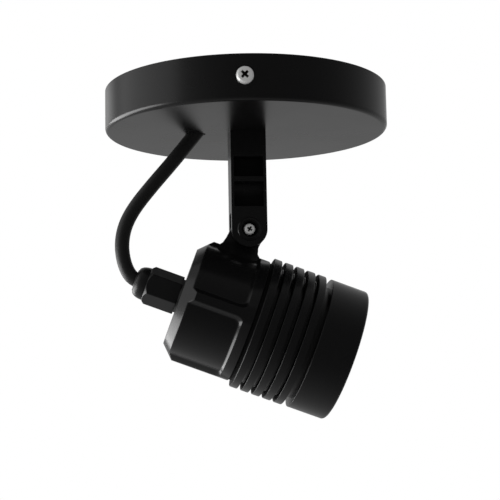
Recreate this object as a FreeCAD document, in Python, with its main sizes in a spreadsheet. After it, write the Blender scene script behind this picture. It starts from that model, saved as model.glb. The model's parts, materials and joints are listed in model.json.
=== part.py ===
"""Surface mounted ceiling spotlight: canopy, fixed arm, tilting lamp head and its cable.

Millimetres. The origin is the middle of the canopy's ceiling face, +Z up. The arm and
the lamp head lie in the XZ plane, the head points towards +X, and it tilts about an axis
along Y through the arm's fork. Pieces of the lamp head are drawn in the head's own frame:
X runs forward along the lamp's axis from its rear face, Z is square to it.
"""
import FreeCAD, Part
import math
import os

import Sketcher
from FreeCAD import Placement, Rotation, Vector

# --------------------------------------------------------------------------------------
# Driving dimensions
# --------------------------------------------------------------------------------------
SIZES = [
    # canopy
    ("canopy_radius", 62.5, "outside of the canopy"),
    ("canopy_height", 18.8, "ceiling face to the underside"),
    ("canopy_wall", 1.5, "sheet of the canopy"),
    ("canopy_round", 3.0, "outside rounding of the lower edge"),
    ("side_screw_drop", 9.1, "side screws below the ceiling"),
    ("side_screw_turn", -5.6, "side screws and strap turned about Z"),
    # ceiling strap
    ("strap_width", 16.0, "width of the strap"),
    ("strap_sheet", 2.0, "sheet of the strap"),
    ("strap_tab", 14.0, "depth of the strap's end tabs"),
    ("strap_gap", 0.4, "tab to the canopy wall"),
    ("ceiling_hole_circle", 60.0, "circle of the two ceiling holes"),
    ("ceiling_hole_radius", 2.5, "ceiling hole for a 4.5 mm wood screw"),
    # fasteners
    ("four_radius", 2.0, "M4 shank"),
    ("four_head_radius", 3.7, "M4 pan head"),
    ("four_head_height", 2.6, "M4 pan head"),
    ("three_radius", 1.5, "M3 shank"),
    ("three_head_radius", 2.7, "M3 pan head"),
    ("three_head_height", 1.9, "M3 pan head"),
    ("side_screw_length", 7.0, "side screw under its head"),
    ("arm_screw_length", 11.0, "arm screw under its head"),
    ("base_screw_length", 8.0, "screw of the heat spreader"),
    ("chip_screw_length", 3.4, "screw of the light chip's board"),
    ("driver_screw_length", 4.5, "screw of the driver board"),
    ("hole_gap", 0.25, "clearance hole round a shank"),
    ("thread_gap", 0.05, "tapped hole round a shank"),
    # arm
    ("arm_width", 15.6, "arm along X"),
    ("arm_depth", 16.0, "arm along Y"),
    ("arm_corner", 0.5, "rounding of the arm's long edges"),
    ("pivot_drop", 62.5, "pivot below the ceiling"),
    ("ear_radius", 7.8, "rounded end of the fork's ears"),
    ("fork_slot", 8.0, "gap between the ears"),
    ("fork_top", 54.8, "top of the fork slot below the ceiling"),
    ("web_depth", 4.0, "wall between the front and back recesses"),
    ("recess_side", 1.3, "side walls of the recesses"),
    ("upper_recess_top", 30.4, "below the ceiling"),
    ("upper_recess_end", 39.2, "below the ceiling"),
    ("lower_recess_top", 41.5, "below the ceiling"),
    ("lower_recess_end", 52.5, "below the ceiling"),
    ("arm_screw_inset", 3.6, "arm screws inside the arm's side faces"),
    ("backing_width", 15.0, "backing plate along X"),
    ("backing_length", 30.0, "backing plate along Y"),
    ("backing_sheet", 2.0, "backing plate"),
    # pivot
    ("pivot_seat_radius", 5.2, "shallow ring round the pivot screw"),
    ("pivot_seat_depth", 0.4, "shallow ring round the pivot screw"),
    ("pivot_sink_radius", 3.5, "counterbore of the pivot screw"),
    ("pivot_sink_depth", 1.9, "counterbore below the ear's face"),
    ("pivot_fit", 0.05, "running gap of the pivot"),
    ("pivot_screw_short", 0.4, "pivot screw's end below the ear's back face"),
    ("washer_radius", 6.0, "friction washers"),
    ("washer_sheet", 0.4, "friction washers"),
    ("nut_flats", 5.5, "M3 nut across flats"),
    ("nut_height", 2.4, "M3 nut"),
    # lamp head
    ("head_tilt", 20.5, "lamp axis below the horizontal"),
    ("pivot_along", 18.4, "pivot ahead of the rear face"),
    ("pivot_rise", 9.8, "pivot above the rear body"),
    ("rear_radius", 21.7, "rear face"),
    ("rear_chamfer", 5.8, "rear chamfer"),
    ("body_radius", 27.5, "rear body and neck"),
    ("neck_end", 31.6, "where the neck flares"),
    ("fin_radius", 29.6, "outside of the fins"),
    ("fin_start", 33.4, "rear edge of the first fin"),
    ("fin_land", 3.3, "width of a fin"),
    ("fin_pitch", 5.1, "fin to fin"),
    ("fin_root", 26.0, "bottom of the fin gaps"),
    ("fin_count", 5, "number of fins"),
    ("fin_edge", 0.25, "edge break of the fins"),
    ("spigot_radius", 25.4, "front collar under the bezel"),
    ("spigot_end", 67.0, "front end of the housing"),
    ("front_bore", 22.8, "front cavity"),
    ("shoulder", 40.0, "seat of the heat spreader"),
    ("rear_bore", 17.0, "rear cavity"),
    ("rear_wall", 5.0, "wall behind the rear cavity"),
    ("pocket_depth", 2.1, "pockets below the rear body"),
    ("pocket_front", 26.3, "front end of the pocket floors"),
    ("pocket_slope", 3.0, "run of the sloping front wall"),
    ("pocket_start", 5.0, "pocket edge above or below the side"),
    ("pocket_sweep", 75.0, "angle covered by one pocket"),
    ("pocket_corner", 2.6, "rounding of the pocket's front corners"),
    ("lug_thickness", 7.0, "lug between the washers"),
    ("lug_radius", 7.4, "rounded top of the lug"),
    ("lug_rear_foot", 8.0, "rear end of the lug's foot"),
    ("lug_front_foot", 27.6, "front end of the lug's foot"),
    ("lug_rear_waist", 8.2, "waist of the lug behind the pivot"),
    ("lug_front_waist", 6.7, "waist of the lug ahead of the pivot"),
    ("lug_waist_height", 3.8, "waist above the body"),
    ("lug_flare", 0.8, "flare of the foot below the waist"),
    ("lug_flare_height", 1.0, "flare above the body"),
    ("lug_foot_sink", 0.6, "foot's ends below the body's top line"),
    ("lug_foot_spread", 3.9, "slanted foot beside the lug's faces"),
    ("lug_foot_rise", 2.5, "slanted foot above the body"),
    ("lug_foot_low", 3.2, "slanted foot's lower edges below the body's top line"),
    ("lug_foot_root", 4.2, "foot's root below the body's top line"),
    # bezel and glass
    ("bezel_start", 60.0, "rear edge of the bezel"),
    ("bezel_end", 76.9, "front edge of the bezel"),
    ("bezel_radius", 29.5, "outside of the bezel"),
    ("bezel_round", 1.3, "front rounding of the bezel"),
    ("bezel_lip", 23.4, "opening in the bezel"),
    ("bezel_flare", 2.0, "inner bevel at the opening"),
    ("bezel_fit", 0.05, "bezel thread on the collar"),
    ("gasket_sheet", 1.5, "glass gasket"),
    ("glass_sheet", 3.0, "front glass"),
    ("gasket_gap", 0.3, "gasket to the bore and to the bezel's thread"),
    ("glass_gap", 0.1, "glass to the bezel's thread"),
    # light engine
    ("spreader_sheet", 3.0, "heat spreader"),
    ("spreader_screw_circle", 19.6, "radius of its three screws"),
    ("chip_board_radius", 13.0, "board of the light chip"),
    ("chip_board_sheet", 1.6, "board of the light chip"),
    ("chip_radius", 5.5, "light chip"),
    ("chip_sheet", 0.8, "light chip"),
    ("chip_screw_circle", 10.2, "radius of the board's screws"),
    ("small_screw_radius", 1.0, "M2 shank"),
    ("small_head_radius", 1.9, "M2 pan head"),
    ("small_head_height", 1.3, "M2 pan head"),
    ("reflector_neck", 6.0, "inside of the reflector's neck"),
    ("reflector_neck_length", 2.4, "reflector's neck"),
    ("reflector_mid_radius", 15.0, "inside of the reflector half way"),
    ("reflector_mouth", 21.2, "inside of the reflector's mouth"),
    ("reflector_wall", 0.9, "wall of the reflector"),
    ("reflector_mid_back", 0.8, "half way point behind the middle of the bowl"),
    ("reflector_heel", 0.36, "start of the outer curve ahead of the inner one"),
    ("reflector_glass_gap", 0.6, "reflector behind the housing's front end"),
    # driver
    ("driver_radius", 15.6, "driver board"),
    ("driver_sheet", 1.6, "driver board"),
    ("driver_post", 8.0, "posts between driver and heat spreader"),
    ("driver_post_radius", 2.6, "posts"),
    ("driver_post_circle", 12.2, "radius of the posts"),
    ("post_end_gap", 0.2, "end of a post's thread below the heat spreader's face"),
    ("transformer_side", 9.0, "side of the square transformer"),
    ("transformer_height", 9.5, "transformer above the board"),
    ("transformer_aside", 4.4, "transformer from the lamp axis"),
    ("transformer_below", 1.6, "components below the lamp axis"),
    ("capacitor_radius", 2.8, "capacitors"),
    ("capacitor_height", 8.5, "capacitors above the board"),
    ("capacitor_aside", 6.2, "capacitors from the lamp axis"),
    ("lead_circle", 8.6, "lamp leads from the axis"),
    ("lead_radius", 0.9, "insulated lead"),
    ("lead_gap", 0.3, "clearance round a lead"),
    ("thread_runout", 0.5, "tapped hole beyond the end of its screw"),
    # gland
    ("gland_flats", 15.0, "gland across flats"),
    ("gland_thread_radius", 6.2, "gland thread in the rear wall"),
    ("gland_washer_sheet", 0.8, "sealing washer"),
    ("gland_hex_end", 6.3, "rear end of the gland's hexagon"),
    ("gland_gap", 0.3, "between the hexagon and the cap"),
    ("gland_upper_radius", 5.6, "thread under the cap"),
    ("gland_upper_end", 12.6, "rear end of that thread"),
    ("gland_bore", 3.35, "bore of the gland"),
    ("cap_hex_end", 15.3, "rear end of the cap's hexagon"),
    ("cap_end", 20.8, "rear end of the cap's dome"),
    ("cap_dome_radius", 7.1, "dome where it leaves the hexagon"),
    ("cap_mouth", 4.3, "mouth of the cap"),
    ("cap_mouth_rim", 0.5, "flat rim round the mouth"),
    ("cap_dome_mid", 4.0, "half way point of the dome behind the hexagon"),
    ("cap_dome_sag", 0.95, "half way point of the dome inside its first radius"),
    ("cap_seal_gap", 0.1, "seal to the cap and to the gland's thread"),
    ("seal_wall", 1.75, "wall of the seal"),
    ("seal_end", 17.0, "rear end of the seal, where the free cable starts"),
    ("locknut_height", 3.4, "locknut"),
    ("gland_thread_over", 1.0, "gland's thread beyond the locknut"),
    # cable
    ("cable_radius", 3.2, "three core cable"),
    ("cable_hole_gap", 0.4, "cable in the canopy"),
    ("cable_exit_run", 4.5, "first run of the free cable, along the lamp's axis"),
    ("tail_end", 12.0, "end of the sheath inside the head"),
    ("core_radius", 0.8, "insulated core of the cable"),
    ("core_spread", 1.9, "core to core"),
    ("core_aside", 1.4, "cores from the lamp axis"),
    ("core_rise", 14.0, "supply cores beyond the end of the sheath"),
    ("core_height", 11.5, "supply cores above the canopy floor at their turn"),
    ("core_turn", 14.0, "supply cores beside the axis at their turn"),
    ("core_turn_step", 4.5, "second core ahead of the first at its turn"),
    ("core_entry", 3.0, "supply cores straight before the terminal block"),
    ("core_grip", 4.0, "supply cores inside the terminal block"),
    ("core_earth_shift", 6.0, "earth core ahead of the anchor at its turn"),
    ("core_earth_drop", 1.0, "earth core below the others at its turn"),
    ("core_earth_run", 7.5, "earth core straight before its lug"),
    ("cable_end_run", 18.6, "last run of the cable, through the canopy into the anchor"),
    # inside the canopy
    ("anchor_height", 8.0, "cable anchor above the canopy floor"),
    ("anchor_step", 0.2, "shoulder that stops the sheath in the anchor"),
    ("anchor_foot_width", 9.0, "anchor's foot along X"),
    ("anchor_half_width", 6.0, "cable anchor"),
    ("anchor_wing", 13.0, "half width of the anchor's foot"),
    ("anchor_foot", 3.0, "thickness of the anchor's foot"),
    ("anchor_front", 8.6, "anchor's front face behind the axis"),
    ("anchor_rear", 31.0, "anchor's rear face behind the axis"),
    ("anchor_stud_spread", 9.6, "anchor studs from the middle"),
    ("anchor_stud_back", 18.0, "anchor studs behind the axis"),
    ("stud_radius", 1.5, "weld studs"),
    ("stud_foot_radius", 2.4, "foot of a weld stud"),
    ("stud_foot_height", 0.8, "foot of a weld stud"),
    ("stud_length", 8.0, "weld studs"),
    ("block_length", 27.0, "terminal block"),
    ("block_depth", 15.0, "terminal block"),
    ("block_height", 10.5, "terminal block"),
    ("block_behind", 22.0, "terminal block behind the axis"),
    ("block_aside", 30.0, "terminal block beside the axis"),
    ("block_pitch", 8.0, "way to way"),
    ("way_radius", 2.3, "wire way"),
    ("tube_wall", 0.8, "wall of the brass tubes"),
    ("tube_inset", 1.5, "tubes' ends inside the block"),
    ("well_gap", 0.3, "screw wells round the clamp screws"),
    ("clamp_sink", 1.0, "clamp screws below the block's top"),
    ("clamp_slot_width", 0.6, "slot of a clamp screw"),
    ("clamp_slot_depth", 0.7, "slot of a clamp screw"),
    ("way_height", 4.6, "wire way above the block's underside"),
    ("clamp_screw_radius", 1.4, "terminal screws"),
    ("earth_sheet", 0.6, "sheet of the earth lug"),
    ("earth_rim", 1.2, "eye of the earth lug round the stud's foot"),
    ("earth_neck", 7.5, "eye to barrel"),
    ("earth_barrel_length", 5.0, "barrel of the earth lug"),
    ("earth_barrel_radius", 1.7, "barrel of the earth lug"),
    ("earth_tongue_over", 1.5, "tongue under the barrel"),
    ("earth_grip", 1.0, "core inside the barrel's mouth"),
    ("earth_behind", 34.0, "earth stud behind the axis"),
    ("earth_aside", 22.0, "earth stud on the other side"),
]

# Cable route in the XZ plane. Before these points it leaves the seal along the lamp's axis,
# after them it runs straight into the anchor.
CABLE_ROUTE = [
    (-53.3, -79.7), (-55.1, -74.0), (-55.6, -67.2), (-54.2, -59.9),
    (-50.3, -52.3), (-42.6, -42.5), (-31.4, -29.6),
]
CABLE_END_ANGLE = 51.6        # slope of the last run, degrees above the horizontal
OVER = 1.0                    # cutters reach this far past what they cut
SCREW_ANGLES = (90, 210, 330)         # heat spreader screws round the lamp's axis
POST_ANGLES = (30, 150, 270)          # driver posts round the lamp's axis
CROSS_WIDTH = 0.24                    # cross recess of a pan head, shares of the head
CROSS_LENGTH = 1.05
CROSS_DEPTH = 0.6


class Dim:
    """A length with its value and the sheet expression that gives it."""

    def __init__(self, value, text):
        self.value = float(value)
        self.text = text

    def _join(self, other, sign, value):
        other = as_dim(other)
        return Dim(value(self.value, other.value), "(%s %s %s)" % (self.text, sign, other.text))

    def __add__(self, other):
        return self._join(other, "+", lambda a, b: a + b)

    def __sub__(self, other):
        return self._join(other, "-", lambda a, b: a - b)

    def __mul__(self, other):
        return self._join(other, "*", lambda a, b: a * b)

    def __truediv__(self, other):
        return self._join(other, "/", lambda a, b: a / b)

    def __neg__(self):
        return Dim(-self.value, "(0 - %s)" % self.text)


def as_dim(number):
    """A plain number as a Dim; a Dim stays what it is."""
    return number if isinstance(number, Dim) else Dim(number, repr(float(number)))


ZERO = as_dim(0)

doc = FreeCAD.newDocument("ceiling_spotlight")
sheet = doc.addObject("Spreadsheet::Sheet", "sizes")
for row, (alias, value, meaning) in enumerate(SIZES, start=1):
    sheet.set("A%d" % row, alias)
    sheet.set("B%d" % row, repr(value))
    sheet.set("C%d" % row, meaning)
    sheet.setAlias("B%d" % row, alias)
doc.recompute()


class Sizes:
    """Reads a driving dimension from the sheet as a Dim: size.arm_width."""

    def __getattr__(self, alias):
        return Dim(getattr(sheet, alias), "sizes.%s" % alias)


size = Sizes()
parts = []


# --------------------------------------------------------------------------------------
# Frames
# --------------------------------------------------------------------------------------
def pivot_above():
    """The pivot above the lamp's axis."""
    return size.body_radius + size.pivot_rise


def arm_screw_offset():
    """The arm screws' distance from the axis."""
    return size.arm_width / 2 - size.arm_screw_inset


def head_frame():
    """Placement of the lamp head: its rear centre hangs from the pivot."""
    turn = Rotation(Vector(0, 1, 0), size.head_tilt.value)
    pivot = Vector(0, 0, -size.pivot_drop.value)
    return Placement(pivot - turn.multVec(Vector(size.pivot_along.value, 0, pivot_above().value)), turn)


HEAD = head_frame()
ROOT = Placement()
STRAP = Placement(Vector(0, 0, 0), Rotation(Vector(0, 0, 1), size.side_screw_turn.value))
FLOOR = size.canopy_wall - size.canopy_height        # inner face of the canopy's underside
CABLE_CUT = size.cable_end_run.value / 2             # cable drills start this far below the last run


def along(axis, start, sideways=(0, 0, 0)):
    """Placement whose Z runs along an axis from a start point."""
    return Placement(Vector(*start) + Vector(*sideways), Rotation(Vector(0, 0, 1), Vector(*axis)))


# --------------------------------------------------------------------------------------
# Sketches and features
# --------------------------------------------------------------------------------------
def bind(target, name, dim):
    """Ties one property of an object to the sheet."""
    target.setExpression(name, as_dim(dim).text)


def new_body(name):
    body = doc.addObject("PartDesign::Body", name + "_body")
    body.Label = name
    return body


def plane_of(body, role):
    return [feature for feature in body.Origin.OriginFeatures if feature.Role == role][0]


def pin_point(sketch, geometry, end, x, z):
    """Ties an end point of a sketch line to its distances from the sketch's origin."""
    for kind, dim, axis_line in (("DistanceX", x, -2), ("DistanceY", z, -1)):
        dim = as_dim(dim)
        if abs(dim.value) < 1e-9:
            sketch.addConstraint(Sketcher.Constraint("PointOnObject", geometry, end, axis_line))
        elif dim.value > 0:
            index = sketch.addConstraint(Sketcher.Constraint(kind, -1, 1, geometry, end, dim.value))
            sketch.setExpression("Constraints[%d]" % index, dim.text)
        else:
            index = sketch.addConstraint(Sketcher.Constraint(kind, geometry, end, -1, 1, -dim.value))
            sketch.setExpression("Constraints[%d]" % index, (-dim).text)


def outline(body, name, points, role="XZ_Plane", offset=None):
    """A closed outline of straight lines through points given as pairs of Dims."""
    sketch = body.newObject("Sketcher::SketchObject", name)
    sketch.AttachmentSupport = [(plane_of(body, role), "")]
    sketch.MapMode = "FlatFace"
    if offset is not None:
        sketch.AttachmentOffset = offset
    flat = [Vector(as_dim(x).value, as_dim(z).value, 0) for x, z in points]
    lines = [Part.LineSegment(flat[i], flat[(i + 1) % len(flat)]) for i in range(len(flat))]
    sketch.addGeometry(lines, False)
    for i in range(len(flat)):
        following = (i + 1) % len(flat)
        sketch.addConstraint(Sketcher.Constraint("Coincident", i, 2, following, 1))
    for i, (x, z) in enumerate(points):
        pin_point(sketch, i, 1, x, z)
    return sketch


def circles(body, name, items, role="XZ_Plane", offset=None):
    """Circles given as (x, z, radius) in Dims."""
    sketch = body.newObject("Sketcher::SketchObject", name)
    sketch.AttachmentSupport = [(plane_of(body, role), "")]
    sketch.MapMode = "FlatFace"
    if offset is not None:
        sketch.AttachmentOffset = offset
    for i, (x, z, radius) in enumerate(items):
        centre = Vector(as_dim(x).value, as_dim(z).value, 0)
        sketch.addGeometry(Part.Circle(centre, Vector(0, 0, 1), as_dim(radius).value), False)
        index = sketch.addConstraint(Sketcher.Constraint("Radius", i, as_dim(radius).value))
        sketch.setExpression("Constraints[%d]" % index, as_dim(radius).text)
        pin_point(sketch, i, 3, x, z)
    return sketch


def revolve(body, sketch, axis="H_Axis", cut=False, angle=360):
    kind = "Groove" if cut else "Revolution"
    feature = body.newObject("PartDesign::" + kind, sketch.Name + "_turned")
    feature.Profile = sketch
    feature.ReferenceAxis = (sketch, [axis])
    feature.Angle = as_dim(angle).value
    if isinstance(angle, Dim):
        bind(feature, "Angle", angle)
    sketch.Visibility = False
    return feature


def pad(body, sketch, length):
    """A pad that reaches half its length to each side of its sketch."""
    feature = body.newObject("PartDesign::Pad", sketch.Name + "_pad")
    feature.Profile = sketch
    feature.SideType = "Symmetric"
    bind(feature, "Length", length)
    return feature


def pocket(body, sketch, length, symmetric=True, reverse=False):
    """A cut of a given depth, to both sides or to one side of its sketch."""
    feature = body.newObject("PartDesign::Pocket", sketch.Name + "_cut")
    feature.Profile = sketch
    if symmetric:
        feature.SideType = "Symmetric"
    feature.Reversed = reverse
    bind(feature, "Length", length)
    return feature


def soften(body, radius, choose, kind="Fillet"):
    """Rounds or bevels the edges of the body's last feature that a test picks."""
    doc.recompute()
    base = body.Tip
    names = ["Edge%d" % (i + 1) for i, edge in enumerate(base.Shape.Edges) if choose(edge)]
    if not names:
        raise ValueError("%s: no edge to soften" % body.Label)
    feature = body.newObject("PartDesign::" + kind, body.Name + "_" + kind.lower())
    feature.Base = (base, names)
    bind(feature, "Radius" if kind == "Fillet" else "Size", radius)
    return feature


def cylinder(name, radius, length, place=ROOT):
    item = doc.addObject("Part::Cylinder", name)
    bind(item, "Radius", radius)
    bind(item, "Height", length)
    item.Placement = place
    return item


def block(name, lengths, corner):
    """A box from its low corner."""
    item = doc.addObject("Part::Box", name)
    for property_name, dim in zip(("Length", "Width", "Height"), lengths):
        bind(item, property_name, dim)
    item.Placement = Placement(Vector(*[as_dim(c).value for c in corner]), Rotation())
    return item


def prism(name, flats, length, place=ROOT, turn=0):
    """A hexagonal bar measured across its flats."""
    item = doc.addObject("Part::Prism", name)
    item.Polygon = 6
    bind(item, "Circumradius", flats / math.sqrt(3))
    bind(item, "Height", length)
    item.Placement = place.multiply(Placement(Vector(0, 0, 0), Rotation(Vector(0, 0, 1), turn)))
    return item


def joined(name, items):
    if len(items) == 1:
        return items[0]
    item = doc.addObject("Part::MultiFuse", name)
    item.Shapes = items
    item.Refine = True
    return item


def cut(name, base, tools):
    item = doc.addObject("Part::Cut", name)
    item.Base = base
    item.Tool = joined(name + "_tools", tools)
    item.Refine = True
    return item


def group(name, items):
    """Several separate solids kept in one node."""
    item = doc.addObject("Part::Compound", name + "_set")
    item.Links = items
    return item


def finish(item, label, place=None):
    """Names a finished sub-part, places it and keeps it for export."""
    item.Label = label
    if place is not None:
        item.Placement = place
    parts.append(item)
    return item


def pan_screw(name, radius, head_radius, head_height, length, place):
    """A cross recessed pan head screw: the head stands on the place's Z = 0, the shank goes down."""
    head = cylinder(name + "_head", head_radius, head_height)
    shank = cylinder(name + "_shank", radius, length, Placement(Vector(0, 0, -length.value), Rotation()))
    body = joined(name + "_blank", [head, shank])
    wing, slot_width = head_radius * CROSS_LENGTH, head_radius * CROSS_WIDTH
    slot_depth = head_height * CROSS_DEPTH
    tools = []
    for index, turn in enumerate((45, 135)):
        bar = doc.addObject("Part::Box", "%s_slot%d" % (name, index))
        bind(bar, "Length", wing)
        bind(bar, "Width", slot_width)
        bind(bar, "Height", slot_depth + OVER)
        corner = Vector(-wing.value / 2, -slot_width.value / 2, (head_height - slot_depth).value)
        spin = Rotation(Vector(0, 0, 1), turn)
        bar.Placement = Placement(spin.multVec(corner), spin)
        tools.append(bar)
    item = cut(name, body, tools)
    item.Placement = place
    return item


# --------------------------------------------------------------------------------------
# Canopy and what holds it to the ceiling
# --------------------------------------------------------------------------------------
def cable_axis():
    """Start and direction of the cable's last run, through the canopy."""
    start = Vector(CABLE_ROUTE[-1][0], 0, CABLE_ROUTE[-1][1])
    slope = math.radians(CABLE_END_ANGLE)
    return start, Vector(math.cos(slope), 0, math.sin(slope))


def canopy_shell():
    """A pressed steel cup, open to the ceiling."""
    body = new_body("canopy_blank")
    inner, floor = size.canopy_radius - size.canopy_wall, FLOOR
    points = [(ZERO, -size.canopy_height), (size.canopy_radius, -size.canopy_height),
              (size.canopy_radius, ZERO), (inner, ZERO), (inner, floor), (ZERO, floor)]
    revolve(body, outline(body, "canopy_profile", points), "V_Axis")

    def corner(radius, height):
        return lambda edge: (edge.Curve.TypeId == "Part::GeomCircle"
                             and abs(edge.Curve.Radius - radius.value) < 0.01
                             and abs(edge.BoundBox.ZMax - height.value) < 0.01)

    soften(body, size.canopy_round, corner(size.canopy_radius, -size.canopy_height))
    soften(body, size.canopy_round - size.canopy_wall, corner(inner, floor))
    doc.recompute()
    side_start = (0, -size.canopy_radius.value - OVER, -size.side_screw_drop.value)
    tools = [cylinder("side_hole", size.four_radius + size.hole_gap, size.canopy_radius * 2 + 2 * OVER,
                      STRAP.multiply(along((0, 1, 0), side_start)))]
    for side in (-1, 1):
        tools.append(cylinder("arm_hole_%d" % (side + 1), size.four_radius + size.hole_gap,
                              size.canopy_wall + 2 * OVER,
                              Placement(Vector(side * arm_screw_offset().value, 0,
                                               -size.canopy_height.value - OVER), Rotation())))
    start, way = cable_axis()
    tools.append(cylinder("cable_hole", size.cable_radius + size.cable_hole_gap,
                          size.cable_end_run + 2 * CABLE_CUT, along(way, start - way * CABLE_CUT)))
    item = cut("canopy_cut", body, tools)
    finish(item, "canopy_shell")


def ceiling_strap():
    """A steel strap with two bent tabs that take the canopy's side screws."""
    inner = size.canopy_radius - size.canopy_wall - size.strap_gap
    half = Dim(math.sqrt(inner.value ** 2 - (size.strap_width.value / 2) ** 2),
               "sqrt(%s ^ 2 - (sizes.strap_width / 2) ^ 2)" % inner.text)
    body = new_body("strap_blank")
    points = [(-half, ZERO), (half, ZERO), (half, -size.strap_tab),
              (half - size.strap_sheet, -size.strap_tab),
              (half - size.strap_sheet, -size.strap_sheet), (size.strap_sheet - half, -size.strap_sheet),
              (size.strap_sheet - half, -size.strap_tab), (-half, -size.strap_tab)]
    pad(body, outline(body, "strap_profile", points, "YZ_Plane"), size.strap_width)
    tools = [cylinder("tab_thread", size.four_radius + size.thread_gap, size.canopy_radius * 2,
                      along((0, 1, 0), (0, -size.canopy_radius.value, -size.side_screw_drop.value)))]
    for side in (-1, 1):
        tools.append(cylinder("ceiling_hole_%d" % (side + 1), size.ceiling_hole_radius,
                              size.strap_sheet + 2 * OVER,
                              Placement(Vector(0, side * size.ceiling_hole_circle.value / 2,
                                               -size.strap_sheet.value - OVER), Rotation())))
    finish(cut("strap_cut", body, tools), "ceiling_strap", STRAP)


def canopy_side_screws():
    screws = []
    for side in (-1, 1):
        place = STRAP.multiply(along((0, side, 0), (0, side * size.canopy_radius.value,
                                                    -size.side_screw_drop.value)))
        screws.append(pan_screw("side_screw_%d" % (side + 1), size.four_radius, size.four_head_radius,
                                size.four_head_height, size.side_screw_length, place))
    finish(group("side_screws", screws), "canopy_side_screws")


def arm_fixings():
    """Backing plate and two screws that hold the arm to the canopy from inside."""
    plate = block("backing_blank", (size.backing_width, size.backing_length, size.backing_sheet),
                  (-size.backing_width / 2, -size.backing_length / 2, FLOOR))
    holes, screws = [], []
    for side in (-1, 1):
        x = side * arm_screw_offset().value
        holes.append(cylinder("backing_hole_%d" % (side + 1), size.four_radius + size.hole_gap,
                              size.backing_sheet + 2 * OVER,
                              Placement(Vector(x, 0, FLOOR.value - OVER), Rotation())))
        top = FLOOR + size.backing_sheet
        screws.append(pan_screw("arm_screw_%d" % (side + 1), size.four_radius, size.four_head_radius,
                                size.four_head_height, size.arm_screw_length,
                                Placement(Vector(x, 0, top.value), Rotation())))
    finish(cut("backing_cut", plate, holes), "arm_backing_plate")
    finish(group("arm_screw", screws), "arm_screws")


# --------------------------------------------------------------------------------------
# Arm and pivot
# --------------------------------------------------------------------------------------
def arm_bracket():
    """A cast arm with two cored recesses on each face and a fork at its lower end."""
    body = new_body("arm_blank")
    half = size.arm_width / 2
    pad(body, outline(body, "arm_profile", [(-half, -size.canopy_height), (half, -size.canopy_height),
                                            (half, -size.pivot_drop), (-half, -size.pivot_drop)]),
        size.arm_depth)
    pad(body, circles(body, "ear_profile", [(ZERO, -size.pivot_drop, size.ear_radius)]), size.arm_depth)
    doc.recompute()

    def long_edge(edge):
        box = edge.BoundBox
        at_side = abs(abs(box.XMin) - half.value) < 0.01 or box.ZMax < -size.pivot_drop.value + 0.01
        at_face = abs(abs(box.YMin) - size.arm_depth.value / 2) < 0.01
        return at_side and at_face and box.YLength < 0.01 and box.ZLength > size.ear_radius.value / 2

    soften(body, size.arm_corner, long_edge)
    inner = half - size.recess_side
    depth = (size.arm_depth - size.web_depth) / 2
    for face in (-1, 1):
        for name, top, end in (("upper", size.upper_recess_top, size.upper_recess_end),
                               ("lower", size.lower_recess_top, size.lower_recess_end)):
            place = Placement(Vector(0, 0, face * size.arm_depth.value / 2), Rotation())
            sketch = outline(body, "%s_recess_%d" % (name, face + 1),
                             [(-inner, -top), (inner, -top), (inner, -end), (-inner, -end)], offset=place)
            sketch.setExpression("AttachmentOffset.Base.z", (size.arm_depth * (face * 0.5)).text)
            pocket(body, sketch, depth, symmetric=False, reverse=face < 0)
    fork_end = -size.pivot_drop - size.ear_radius * 2
    pocket(body, outline(body, "fork", [(-size.arm_width, -size.fork_top), (size.arm_width, -size.fork_top),
                                        (size.arm_width, fork_end), (-size.arm_width, fork_end)]),
           size.fork_slot)
    doc.recompute()
    front, pivot = -size.arm_depth.value / 2, -size.pivot_drop.value
    from_front = along((0, 1, 0), (0, front - OVER, pivot))
    tools = [
        cylinder("pivot_bore", size.three_radius + size.pivot_fit, size.arm_depth + 2 * OVER, from_front),
        cylinder("pivot_sink", size.pivot_sink_radius, size.pivot_sink_depth + OVER, from_front),
        cylinder("pivot_seat", size.pivot_seat_radius, size.pivot_seat_depth + OVER, from_front),
        prism("nut_seat", size.nut_flats + size.pivot_fit * 2, size.nut_height + OVER,
              along((0, -1, 0), (0, OVER - front, pivot))),
    ]
    thread_depth = size.arm_screw_length - size.backing_sheet - size.canopy_wall + size.thread_runout
    for side in (-1, 1):
        place = Placement(Vector(side * arm_screw_offset().value, 0, OVER - size.canopy_height.value),
                          Rotation(Vector(1, 0, 0), 180))
        tools.append(cylinder("arm_thread_%d" % (side + 1), size.four_radius + size.thread_gap,
                              thread_depth + OVER, place))
    finish(cut("arm_cut", body, tools), "arm_bracket")


def pivot_hardware():
    """Screw, nut and two friction washers of the tilt pivot."""
    front, pivot = -size.arm_depth.value / 2, -size.pivot_drop.value
    under_head = front + size.pivot_sink_depth.value
    length = size.arm_depth - size.pivot_sink_depth - size.pivot_screw_short
    screw = pan_screw("pivot_screw_solid", size.three_radius, size.three_head_radius, size.three_head_height,
                      length, along((0, -1, 0), (0, under_head, pivot)))
    finish(screw, "pivot_screw")
    nut = prism("pivot_nut_blank", size.nut_flats, size.nut_height, along((0, -1, 0), (0, -front, pivot)))
    bore = cylinder("pivot_nut_bore", size.three_radius + size.thread_gap, size.nut_height + 2 * OVER,
                    along((0, -1, 0), (0, OVER - front, pivot)))
    finish(cut("pivot_nut_cut", nut, [bore]), "pivot_nut")
    washers = []
    for side in (-1, 1):
        outer = side * (size.fork_slot.value / 2 - size.pivot_fit.value)
        place = along((0, -side, 0), (0, outer, pivot))
        disc = cylinder("washer_blank_%d" % (side + 1), size.washer_radius, size.washer_sheet, place)
        hole = cylinder("washer_hole_%d" % (side + 1), size.three_radius + size.pivot_fit,
                        size.washer_sheet + 2 * OVER, along((0, -side, 0), (0, outer + side * OVER, pivot)))
        washers.append(cut("washer_%d" % (side + 1), disc, [hole]))
    finish(group("washers", washers), "pivot_washers")


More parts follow.
